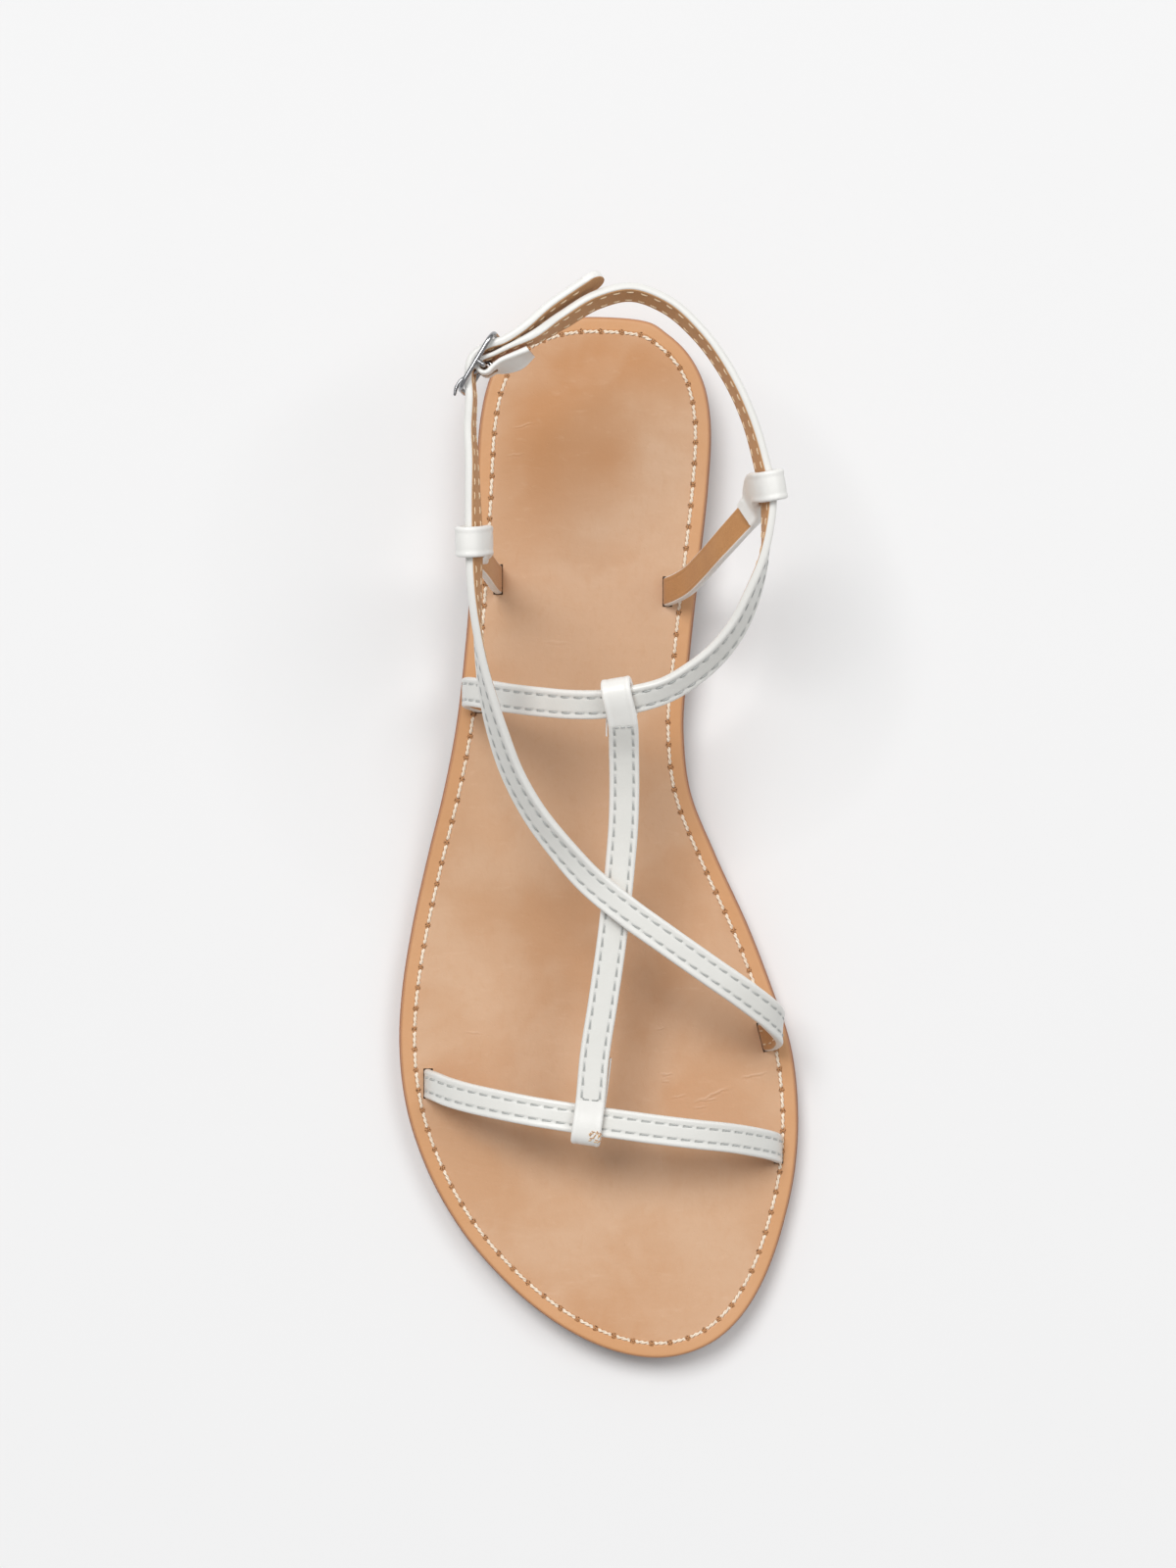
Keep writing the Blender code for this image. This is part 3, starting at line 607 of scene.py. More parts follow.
def box_shape(name, place, axes, size, material):
    """A box with its middle at the place and its sides along the three axes."""
    shape = bpy.data.meshes.new(name)
    mesh = bmesh.new()
    bmesh.ops.create_cube(mesh, size=1.0)
    for vert in mesh.verts:
        shift = sum((axis * size[i] * vert.co[i] for i, axis in enumerate(axes)), Vector())
        vert.co = (place + shift) * MM
    bmesh.ops.recalc_face_normals(mesh, faces=mesh.faces)
    mesh.to_mesh(shape)
    mesh.free()
    shape.materials.append(material)
    return link_object(name, shape)


def turned(side, other, angle):
    """A direction between two others, by the angle from the first."""
    return side * math.cos(angle) + other * math.sin(angle)


def round_ring(centre, side, other, radius, sides):
    return [centre + turned(side, other, 2 * math.pi * k / sides) * radius for k in range(sides)]


def tube_faces(rings, sides, first=0, closed=False):
    """Faces of a tube from its rings, with a cap at each end unless it closes on itself."""
    faces = []
    for i in range(rings if closed else rings - 1):
        low, high = first + i * sides, first + (i + 1) % rings * sides
        for k in range(sides):
            m = (k + 1) % sides
            faces.append((low + k, low + m, high + m, high + k))
    if not closed:
        last = first + (rings - 1) * sides
        faces.append([first + k for k in range(sides)][::-1])
        faces.append([last + k for k in range(sides)])
    return faces


def bar_shape(name, start, end, radius, material):
    """A straight round bar from one place to another."""
    axis = (end - start).normalized()
    side = axis.orthogonal().normalized()
    rings = [round_ring(place, side, axis.cross(side), radius, CUT_SIDES) for place in (start, end)]
    thing = add_object(name, sum(rings, []), tube_faces(2, CUT_SIDES), [material], smooth_faces=False)
    tidy_mesh(thing)
    return thing


# Material nodes


class Nodes:
    """Short calls for building the nodes of one material, or of the world."""

    def __init__(self, name, kinds=bpy.data.materials, shader="Principled BSDF"):
        self.made = kinds.new(name)
        self.made.use_nodes = True
        self.tree = self.made.node_tree
        self.shader = self.tree.nodes[shader]

    def add(self, kind, settings=None, **inputs):
        node = self.tree.nodes.new(kind)
        for key, value in (settings or {}).items():
            setattr(node, key, value)
        for key, value in inputs.items():
            self.put(node.inputs[key.replace("_", " ")], value)
        return node

    def put(self, socket, value):
        if isinstance(value, bpy.types.NodeSocket):
            self.tree.links.new(value, socket)
        elif socket.type == "RGBA" and len(value) == 3:
            socket.default_value = (*value, 1.0)
        else:
            socket.default_value = value

    def set(self, key, value):
        self.put(self.shader.inputs[key], value)

    def math(self, operation, first, second=0.0, clamp=False):
        node = self.add("ShaderNodeMath", {"operation": operation, "use_clamp": clamp})
        self.put(node.inputs[0], first)
        self.put(node.inputs[1], second)
        return node.outputs[0]

    def times(self, first, second):
        return self.math("MULTIPLY", first, second)

    def minus(self, first, second):
        return self.math("SUBTRACT", first, second)

    def plus(self, first, second, clamp=False):
        return self.math("ADD", first, second, clamp)

    def size(self, value):
        return self.math("ABSOLUTE", value)

    def mix(self, share, first, second):
        node = self.add("ShaderNodeMix", {"data_type": "RGBA"})
        self.put(node.inputs[0], share)
        self.put(node.inputs[6], first)
        self.put(node.inputs[7], second)
        return node.outputs[2]

    def range(self, value, low, high, to_low=0.0, to_high=1.0, smooth_ends=True):
        kind = "SMOOTHSTEP" if smooth_ends else "LINEAR"
        node = self.add("ShaderNodeMapRange", {"interpolation_type": kind})
        self.put(node.inputs[0], value)
        for index, number in ((1, low), (2, high), (3, to_low), (4, to_high)):
            node.inputs[index].default_value = number
        return node.outputs[0]

    def object_place(self, stretch=(1.0, 1.0, 1.0)):
        """The place in millimetres."""
        place = self.add("ShaderNodeTexCoord").outputs["Object"]
        scale = [share / MM for share in stretch]
        return self.add("ShaderNodeMapping", Vector=place, Scale=scale).outputs[0]

    def noise(self, place, size, detail=3.0, roughness=0.5, distortion=0.0):
        """Noise whose features are about that many millimetres across."""
        node = self.add("ShaderNodeTexNoise", Vector=place, Scale=1.0 / size, Detail=detail)
        self.put(node.inputs["Roughness"], roughness)
        self.put(node.inputs["Distortion"], distortion)
        return node.outputs["Fac"]

    def cells(self, place, size, feature="F1"):
        node = self.add("ShaderNodeTexVoronoi", {"feature": feature}, Vector=place, Scale=1.0 / size)
        return node.outputs["Distance"]

    def attribute(self, name):
        return self.add("ShaderNodeAttribute", {"attribute_name": name}).outputs["Fac"]

    def map_place(self, name):
        place = self.add("ShaderNodeUVMap", {"uv_map": name}).outputs[0]
        split = self.add("ShaderNodeSeparateXYZ", Vector=place)
        return split.outputs[0], split.outputs[1]

    def paint(self, colour, *coats):
        """The base colour, with each coat laid over the ones before by its own share."""
        for share, over in coats:
            colour = self.mix(share, colour, over)
        self.set("Base Color", colour)

    def finish(self, **values):
        """The shader's other values, by the names of its sockets."""
        for key, value in values.items():
            self.set(key.replace("_", " "), value)

    def bump(self, heights):
        """Heights in millimetres, each with its strength, one bump over another."""
        normal = None
        for height, strength, depth in heights:
            node = self.add("ShaderNodeBump", Strength=strength, Height=height, Distance=depth * MM)
            if normal is not None:
                self.put(node.inputs["Normal"], normal)
            normal = node.outputs[0]
        self.set("Normal", normal)


def make_white_leather():
    """Smooth finished leather with a fine grain; stitch dents painted dark as shade, rims and unsewn parts
    painted light.
    """
    nodes = Nodes("white_leather")
    place = nodes.object_place()
    along, across = nodes.map_place("band")
    rows = nodes.attribute("rows")
    stitched = nodes.math("GREATER_THAN", rows, 0.5)
    phase = nodes.math("FRACT", nodes.math("DIVIDE", along, STITCH_PITCH))
    slant = nodes.times(nodes.minus(phase, 0.5), STITCH_SLANT)
    apart = nodes.minus(across, nodes.times(nodes.math("SIGN", across), rows))
    apart = nodes.size(nodes.plus(apart, slant))
    # 1 along each stitch and 0 in the short gap between two
    half = (STITCH_LENGTH + 0.3) / STITCH_PITCH / 2
    pulse = nodes.range(nodes.size(nodes.minus(phase, 0.5)), half - 0.04, half + 0.06, 1.0, 0.0)
    dent = nodes.times(nodes.range(apart, 0.1, 0.42, 1.0, 0.0), nodes.times(pulse, stitched))
    # Each stitch dips deepest at the end where its thread goes down, and is painted darkest there as shade.
    dent_depth_and_shade = nodes.times(dent, nodes.range(phase, 0.1, 0.7, 1.0, 0.35))
    groove_with_shade = nodes.times(nodes.range(apart, 0.0, 0.6, 1.0, 0.0), stitched)
    nodes.paint(
        nodes.mix(nodes.noise(place, 9.0, 3.0, 0.6), (0.70, 0.695, 0.655), (0.765, 0.76, 0.725)),
        (nodes.range(nodes.noise(place, 0.9, 4.0, 0.7), 0.56, 0.8, 0.0, 0.22), (0.60, 0.585, 0.53)),
        # Painted highlight: the white face is painted lighter towards its rolled edges
        (nodes.range(nodes.size(across), 1.9, 2.9, 0.0, 0.38), (0.83, 0.82, 0.79)),
        # Painted light: the unsewn loops, tabs and strap ends are painted lighter than the sewn straps
        (nodes.times(nodes.minus(1.0, stitched), 0.55), (0.88, 0.87, 0.84)),
        # Painted shade: grey in the stitch grooves and dark in the dents under the stitches
        (nodes.times(groove_with_shade, 0.12), (0.5, 0.51, 0.5)),
        (nodes.times(dent_depth_and_shade, 0.7), (0.24, 0.255, 0.24)),
    )
    rough = nodes.range(nodes.noise(place, 3.0, 4.0, 0.6), 0.3, 0.7, 0.34, 0.46)
    nodes.finish(Roughness=rough, Coat_Weight=0.18, Coat_Roughness=0.25, Specular_IOR_Level=0.5)
    nodes.bump((
        (nodes.noise(nodes.object_place((1.0, 0.5, 1.0)), 2.6, 3.0, 0.55, 0.6), 0.35, 0.22),
        (nodes.cells(place, 0.42, "SMOOTH_F1"), 0.3, 0.05),
        (nodes.noise(place, 0.22, 2.0, 0.5), 0.25, 0.04),
        (nodes.times(groove_with_shade, -1.0), 0.5, 0.10),
        (nodes.times(dent_depth_and_shade, -1.0), 0.6, 0.2),
    ))
    return nodes.made


def make_lining():
    """Unfinished tan lining with open pores."""
    nodes = Nodes("tan_lining")
    place = nodes.object_place()
    across = nodes.map_place("band")[1]
    fibre = nodes.noise(place, 0.5, 5.0, 0.75, 0.4)
    pore = nodes.range(nodes.cells(place, 0.7), 0.05, 0.22, 0.6, 0.0)
    nodes.paint(
        nodes.mix(nodes.noise(place, 6.0, 4.0, 0.6), (0.455, 0.20, 0.062), (0.57, 0.285, 0.105)),
        (nodes.range(fibre, 0.35, 0.75, 0.0, 0.5), (0.62, 0.335, 0.14)),
        (pore, (0.30, 0.125, 0.04)),
        (nodes.range(nodes.size(across), 2.86, 3.02, 0.0, 0.7), (0.74, 0.47, 0.26)),
    )
    rough = nodes.range(fibre, 0.2, 0.8, 0.55, 0.8)
    nodes.finish(Roughness=rough, Sheen_Weight=0.15, Sheen_Roughness=0.5)
    nodes.bump(((fibre, 0.5, 0.12), (nodes.times(pore, -1.0), 0.6, 0.08)))
    return nodes.made


def make_fibres(name, size, noise, dark, light, roughness, depth):
    """Cut leather, where its fibres show."""
    nodes = Nodes(name)
    fibre = nodes.noise(nodes.object_place(), size, *noise)
    nodes.paint(nodes.mix(fibre, dark, light))
    nodes.finish(Roughness=roughness)
    nodes.bump(((fibre, *depth),))
    return nodes.made


def crease_lines(nodes, place):
    """The insole's fine creases: 1 along the bottom of each, and 1 along the ridge beside it, for painted
    shade and a painted highlight.
    """
    wander = nodes.times(nodes.minus(nodes.noise(place, 2.2, 3.0), 0.5), 5.0)
    trough_with_shade = ridge_with_highlight = None
    for crease in CREASES:
        placed = nodes.add(
            "ShaderNodeMapping",
            {"vector_type": "TEXTURE"},
            Vector=place,
            Location=(crease.x, crease.y, 0.0),
            Rotation=(0.0, 0.0, math.radians(crease.compass)),
            Scale=(crease.length / 2, crease.width, FAR_END),
        )
        split = nodes.add("ShaderNodeSeparateXYZ", Vector=placed.outputs[0])
        fade = nodes.range(nodes.size(split.outputs[0]), 0.25, 1.0, crease.depth, 0.0)
        across = nodes.plus(split.outputs[1], wander)
        lines = []
        for shift in (0.0, 1.9):
            apart = nodes.size(nodes.minus(across, shift))
            lines.append(nodes.times(nodes.range(apart, 0.0, 1.5, 1.0, 0.0), fade))
        trough_with_shade = lines[0] if trough_with_shade is None else nodes.math("MAXIMUM", trough_with_shade, lines[0])
        ridge_with_highlight = lines[1] if ridge_with_highlight is None else nodes.math("MAXIMUM", ridge_with_highlight, lines[1])
    return trough_with_shade, ridge_with_highlight


def make_insole_leather():
    """Vegetable tanned leather: uneven tone, an orange margin and punched stitch holes, with painted light
    and shade.
    """
    nodes = Nodes("insole_leather")
    place = nodes.object_place()
    turn, inset = nodes.map_place("margin")
    fine = nodes.noise(nodes.object_place((1.0, 0.55, 1.0)), 1.6, 5.0, 0.65, 0.5)
    pale = nodes.noise(nodes.object_place((0.35, 1.0, 1.0)), 2.2, 4.0, 0.7, 0.3)
    cloud = nodes.noise(place, 26.0, 3.0, 0.55, 0.3)
    tone_and_shade = nodes.attribute("tone_and_shade")
    # The tone attribute carries painted shade and painted light besides the leather's own uneven tone
    shade = nodes.plus(nodes.range(cloud, 0.35, 0.65, 0.0, 0.35), tone_and_shade, clamp=True)
    across = nodes.minus(inset, MARGIN_INSET)
    groove_with_shade = nodes.range(nodes.size(across), 0.1, 0.6, 1.0, 0.0)
    along = nodes.times(nodes.minus(nodes.math("FRACT", turn), 0.5), stitch_pitch())
    apart = nodes.math("SQRT", nodes.plus(nodes.times(across, across), nodes.times(along, along)))
    ragged = nodes.plus(apart, nodes.range(nodes.noise(place, 0.5, 3.0), 0.3, 0.7, -0.18, 0.18))
    hole = nodes.range(ragged, MARGIN_HOLE * 0.55, MARGIN_HOLE * 1.45, 1.0, 0.0)
    trough_with_shade, ridge_with_highlight = crease_lines(nodes, place)
    nodes.paint(
        nodes.mix(shade, (0.606, 0.376, 0.226), (0.48, 0.205, 0.06)),
        (nodes.range(fine, 0.45, 0.8, 0.0, 0.22), (0.53, 0.27, 0.125)),
        (nodes.range(pale, 0.55, 0.85, 0.0, 0.3), (0.71, 0.48, 0.32)),
        (nodes.range(inset, MARGIN_INSET - 0.6, MARGIN_INSET + 0.3, 0.72, 0.0), (0.60, 0.295, 0.118)),
        (nodes.range(inset, 0.0, 0.75, 0.55, 0.0), (0.42, 0.165, 0.08)),
        # Painted shade: the margin groove and the punched holes are painted darker
        (nodes.times(groove_with_shade, 0.3), (0.40, 0.18, 0.07)),
        (nodes.times(hole, 0.75), (0.38, 0.155, 0.05)),
        # Painted shade in the creases' troughs and a painted highlight on their ridges
        (nodes.times(trough_with_shade, 0.2), (0.42, 0.20, 0.09)),
        (nodes.times(ridge_with_highlight, 0.25), (0.78, 0.56, 0.40)),
    )
    rough = nodes.range(fine, 0.3, 0.75, 0.44, 0.56)
    nodes.finish(Roughness=rough, Coat_Weight=0.08, Coat_Roughness=0.35)
    pores = nodes.range(nodes.cells(place, 1.5), 0.04, 0.16, 1.0, 0.0)
    nodes.bump((
        (nodes.noise(nodes.object_place((0.5, 1.0, 1.0)), 7.0, 3.0, 0.5, 0.7), 0.3, 0.35),
        (fine, 0.3, 0.09),
        (nodes.cells(place, 0.8, "SMOOTH_F1"), 0.25, 0.05),
        (nodes.times(pores, -1.0), 0.35, 0.05),
        (nodes.times(groove_with_shade, -1.0), 0.55, 0.3),
        (nodes.times(hole, -1.0), 0.9, 0.5),
        (nodes.minus(ridge_with_highlight, trough_with_shade), 0.45, 0.1),
    ))
    return nodes.made


def make_outsole_leather():
    """Brown sole leather: a burnished edge with a fine line, and a plain brushed underside."""
    nodes = Nodes("outsole_leather")
    place = nodes.object_place()
    inset = nodes.map_place("margin")[1]
    fibre = nodes.noise(nodes.object_place((1.0, 1.0, 4.0)), 0.9, 5.0, 0.7, 0.2)
    scuff = nodes.noise(nodes.object_place((3.0, 0.4, 1.0)), 3.0, 5.0, 0.7, 0.8)
    nodes.paint(
        nodes.mix(nodes.noise(place, 14.0, 4.0, 0.6), (0.43, 0.205, 0.10), (0.56, 0.29, 0.155)),
        (nodes.range(fibre, 0.4, 0.75, 0.0, 0.5), (0.34, 0.15, 0.07)),
        (nodes.range(inset, 0.0, 0.8, 0.6, 0.0), (0.35, 0.14, 0.08)),
        (nodes.range(scuff, 0.62, 0.78, 0.0, 0.3), (0.66, 0.43, 0.28)),
    )
    nodes.finish(Roughness=nodes.range(fibre, 0.3, 0.7, 0.42, 0.66))
    nodes.bump(((fibre, 0.35, 0.12), (nodes.cells(place, 1.1, "SMOOTH_F1"), 0.2, 0.08)))
    return nodes.made


def make_heel_leather():
    """A low stack of leather lifts over a darker top piece."""
    nodes = Nodes("heel_leather")
    height = nodes.add("ShaderNodeSeparateXYZ", Vector=nodes.object_place()).outputs[2]
    layer = nodes.math("FRACT", nodes.math("DIVIDE", height, HEEL_HEIGHT / HEEL_LIFTS))
    line = nodes.range(nodes.size(nodes.minus(layer, 0.5)), 0.40, 0.5, 0.0, 1.0)
    fibre = nodes.noise(nodes.object_place((1.0, 1.0, 5.0)), 1.2, 5.0, 0.7, 0.3)
    nodes.paint(
        nodes.mix(fibre, (0.33, 0.145, 0.065), (0.50, 0.25, 0.125)),
        (nodes.times(line, 0.6), (0.20, 0.08, 0.035)),
        (nodes.times(nodes.range(height, 1.7, 2.0, 1.0, 0.0), 0.8), (0.16, 0.075, 0.04)),
    )
    nodes.finish(Roughness=nodes.range(fibre, 0.3, 0.7, 0.45, 0.7))
    nodes.bump(((fibre, 0.35, 0.15), (nodes.times(line, -1.0), 0.6, 0.18)))
    return nodes.made


def make_chrome():
    """Polished plating with faint wear along the wire."""
    nodes = Nodes("polished_plating")
    wear = nodes.noise(nodes.object_place(), 1.8, 4.0, 0.65)
    nodes.paint(nodes.mix(wear, (0.30, 0.30, 0.31), (0.46, 0.46, 0.47)))
    nodes.finish(Metallic=1.0, Roughness=nodes.range(wear, 0.3, 0.7, 0.16, 0.26))
    nodes.bump(((nodes.noise(nodes.object_place((6.0, 6.0, 0.6)), 0.7, 3.0, 0.6), 0.12, 0.03),))
    return nodes.made


def make_thread(name, dark, light, roughness=0.6):
    """Twisted sewing thread."""
    nodes = Nodes(name)
    place = nodes.object_place()
    fuzz = nodes.noise(place, 0.18, 4.0, 0.7)
    cloud = nodes.noise(place, 3.0, 2.0, 0.5)
    colour = nodes.mix(nodes.range(fuzz, 0.3, 0.7), dark, light)
    nodes.paint(colour, (nodes.range(cloud, 0.4, 0.7, 0.0, 0.3), dark))
    nodes.finish(Roughness=roughness, Sheen_Weight=0.25)
    nodes.bump(((fuzz, 0.5, 0.06),))
    return nodes.made


# Sole


def round_angle(y):
    """The outline closes at heel and toe like a circle, so it is smooth in this angle."""
    return math.acos(max(-1.0, min(1.0, -y / (SOLE_LENGTH / 2))))


def underside(y):
    return float(np.interp(y, [row.y for row in SOLE_PROFILE], [row.height for row in SOLE_PROFILE]))


def eased_underside(y):
    """Height of the outsole's underside, with the profile's corners rounded off."""
    near = [underside(y + PROFILE_EASE * share) for share in (-1, -0.5, 0, 0.5, 1)]
    return sum(near) / len(near)


def insole_top(y):
    """Height of the insole's top face at a place in the shoe's own frame."""
    return eased_underside(y - SOLE_MIDDLE_Y) + OUTSOLE_THICK + GAP + INSOLE_THICK


def outline_rows(last_angle, count):
    """Medial and lateral edge points and their outward directions, from heel to toe."""
    angles = [round_angle(row.y) for row in SOLE_OUTLINE]
    edges = [(row.medial, row.lateral) for row in SOLE_OUTLINE]
    wanted = np.linspace(0, last_angle, count)
    found = smooth(angles, edges, wanted)
    y = -np.cos(wanted) * SOLE_LENGTH / 2
    sides = []
    for column, turn in ((0, 1), (1, -1)):
        line = np.column_stack([found[:, column], y])
        along = np.gradient(line, axis=0)
        along[0], along[-1] = (-turn, 0.0), (turn, 0.0)
        along /= np.linalg.norm(along, axis=1)[:, None]
        outward = np.column_stack([-along[:, 1], along[:, 0]]) * turn
        sides.append((line, outward))
    if last_angle == math.pi:
        sides[1][0][-1] = sides[0][0][-1]
    sides[1][0][0] = sides[0][0][0]
    return sides


# One step of a sole layer's section: how far in from the outline, how far below the layer's top
Step = namedtuple("Step", "inset drop")


def rounded_edge(radius):
    """A quarter round from the wall to the top."""
    turns = [math.radians(turn) for turn in range(0, 91, 15)]
    return [Step(radius * (1 - math.cos(turn)), radius * (1 - math.sin(turn))) for turn in turns]


# The underside of a layer has points at these shares of the way across.
UNDERSIDE_SHARES = (0.0, 0.02, 0.35, 0.5, 0.65, 0.98, 1.0)
UNDERSIDE_INSET = 3.0


def sole_layer(name, inset, low, high, edge_radius, flat_insets, last_angle, leather, top_shift=None):
    """A closed sole layer: wall, rounded edge, then rows over the top that gather at a spine."""
    rows = SOLE_ROWS if last_angle == math.pi else SOLE_ROWS // 2
    medial, lateral = outline_rows(last_angle, rows)
    middles = (medial[0][:, 0] + lateral[0][:, 0]) / 2
    measure = walked(medial[0]), walked(lateral[0])
    total = measure[0][-1] + measure[1][-1]
    steps = rounded_edge(edge_radius) + [Step(value, 0.0) for value in flat_insets]
    deepest = steps[-1].inset
    insets = [step.inset for step in steps]
    insets += [deepest + (SPINE_INSET - deepest) * i / INNER_STEPS for i in range(1, INNER_STEPS)]
    drops = [step.drop for step in steps] + [0.0] * (INNER_STEPS - 1)
    half = len(insets)
    insets = insets + [SPINE_INSET] + insets[::-1]
    drops = drops + [0.0] + drops[::-1]
    points, margins = [], []
    for j in range(rows):
        spine_y = medial[0][j][1] * SPINE_SHARE
        spine = np.array([np.interp(spine_y, medial[0][:, 1], middles), spine_y])
        half_rows = []
        for line, outward in (medial, lateral):
            head = [line[j] - outward[j] * (inset + step.inset) for step in steps]
            reach = spine - head[-1]
            half_rows.append(head + [head[-1] + reach * (i / INNER_STEPS) for i in range(1, INNER_STEPS)])
        across = half_rows[0] + [spine] + half_rows[1][::-1]
        turned_out = measure[0][j] / total * MARGIN_STITCHES
        turned_back = MARGIN_STITCHES - measure[1][j] / total * MARGIN_STITCHES
        for i, (place, drop) in enumerate(zip(across, drops)):
            y = place[1] + SOLE_MIDDLE_Y
            z = high(place[1]) - drop
            if top_shift is not None and drop == 0.0:
                z += top_shift(place[0], y)
            points.append((place[0], y, z))
            margins.append((turned_out if i <= half else turned_back, insets[i]))
        # The underside, back from the lateral edge to the medial one
        for share in UNDERSIDE_SHARES:
            place = across[-1] + (across[0] - across[-1]) * share
            points.append((place[0], place[1] + SOLE_MIDDLE_Y, low(place[1])))
            margins.append((turned_out, 0.0 if share in (0.0, 1.0) else UNDERSIDE_INSET))
    count = len(points) // rows
    # The rows close by themselves at heel and toe, and only the heel block's front needs a cap.
    faces = tube_faces(rows, count)
    caps = faces[-2:]
    del faces[-2:]
    if last_angle != math.pi:
        faces.append(caps[1])
    thing = add_object(name, points, faces, [leather])
    set_map(thing, "margin", margins)
    return thing


def stitch_pitch():
    """Length of one stitch of the insole's margin."""
    medial, lateral = outline_rows(math.pi, SOLE_ROWS)
    return (walked(medial[0])[-1] + walked(lateral[0])[-1]) / MARGIN_STITCHES


def slot_dip(x, y):
    """The leather is pressed down a little all round each slot."""
    dip = 0.0
    for slot in SLOTS.values():
        width = direction(slot.compass, 0)
        run = (x - slot.x) * width.x + (y - slot.y) * width.y
        across = (x - slot.x) * width.y - (y - slot.y) * width.x
        beyond = math.hypot(max(0.0, abs(run) - DIP_HALF_LENGTH), max(0.0, abs(across) - DIP_HALF_WIDTH))
        dip -= DIP_DEPTH * math.exp(-(beyond / DIP_REACH) ** 2)
    return dip


def tone_and_shade_at(x, y):
    tone_and_shade = 0.0
    for patch in TONE_AND_SHADE_PATCHES:
        far = ((x - patch.x) / patch.radius_x) ** 2 + ((y - patch.y) / patch.radius_y) ** 2
        tone_and_shade += patch.depth * 0.5 * math.exp(-far)
    return tone_and_shade


def slot_axes(slot):
    width = direction(slot.compass, 0)
    up = Vector((0, 0, 1))
    return width, up, width.cross(up)


def make_insole(leather, shaded_slot_wall):
    bottom = OUTSOLE_THICK + GAP
    insole = sole_layer(
        "insole_top",
        INSOLE_INSET,
        lambda y: eased_underside(y) + bottom,
        lambda y: eased_underside(y) + bottom + INSOLE_THICK,
        INSOLE_EDGE,
        INSOLE_INSETS,
        math.pi,
        leather,
        slot_dip,
    )
    tones_and_shade = [tone_and_shade_at(vert.co.x / MM, vert.co.y / MM) for vert in insole.data.vertices]
    set_values(insole, "tone_and_shade", tones_and_shade)
    tidy_mesh(insole)
    size = (STRAP_WIDTH + 2 * SLOT_MARGIN, 3 * INSOLE_THICK, STRAP_THICK + 2 * SLOT_MARGIN)
    boxes = []
    for name, slot in SLOTS.items():
        middle = Vector((slot.x, slot.y, insole_top(slot.y) - INSOLE_THICK / 2))
        boxes.append(box_shape(f"slot_{name}", middle, slot_axes(slot), size, shaded_slot_wall))
    cut_out(insole, boxes)
    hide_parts("insole")
    return insole


def make_outsole(leather):
    outsole = sole_layer(
        "outsole_layer",
        0.0,
        eased_underside,
        lambda y: eased_underside(y) + OUTSOLE_THICK,
        OUTSOLE_EDGE,
        PLAIN_INSETS,
        math.pi,
        leather,
    )
    tidy_mesh(outsole)
    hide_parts("outsole")
    return outsole


def make_heel(leather):
    heel = sole_layer(
        "heel_block",
        HEEL_INSET,
        lambda y: 0.0,
        lambda y: HEEL_HEIGHT,
        HEEL_EDGE,
        PLAIN_INSETS,
        round_angle(HEEL_FRONT_Y),
        leather,
    )
    tidy_mesh(heel)
    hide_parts("heel")
    return heel


# Straps


def knots_of(rows):
    return [Knot(Vector(row[:3]), direction(row.compass, row.rise), STRAP_THICK) for row in rows]


def slot_knots(slot):
    """A strap's end inside its slot, from just above the outsole to the insole's top."""
    width = direction(slot.compass, 0)
    top = insole_top(slot.y)
    low = top - INSOLE_THICK + GAP
    heights = (low, (low + top) / 2, top + SLOT_RISE)
    return [Knot(Vector((slot.x, slot.y, height)), width, STRAP_THICK) for height in heights]


def stations_along(knots, step):
    """Stations along the smooth path through the knots, each with its own directions."""
    lengths = lengths_of(knots)
    values = np.array([(*knot.place, *knot.width, knot.thick) for knot in knots])
    count = max(2, int(lengths[-1] / step))
    found = smooth(lengths, values, np.linspace(0, lengths[-1], count))
    stations = []
    for i, value in enumerate(found):
        before, after = found[max(i - 1, 0)], found[min(i + 1, count - 1)]
        along = Vector(after[:3] - before[:3]).normalized()
        width = Vector(value[3:6])
        width = (width - along * width.dot(along)).normalized()
        stations.append(Station(Vector(value[:3]), along, width, width.cross(along), value[6]))
    return stations


def fine_stations(knots):
    """A strap's stations close together, and how far along it each is."""
    stations = stations_along(knots, FINE_STEP / 2)
    return stations, lengths_of(stations)


def plan_distance(station, spot):
    """How far a station is from a spot, seen from above."""
    return math.hypot(station.place.x - spot.x, station.place.y - spot.y)


def host_at(knots, crossing):
    """A strap's station where a loop goes round it."""
    return min(stations_along(knots, FINE_STEP), key=lambda one: plan_distance(one, crossing))


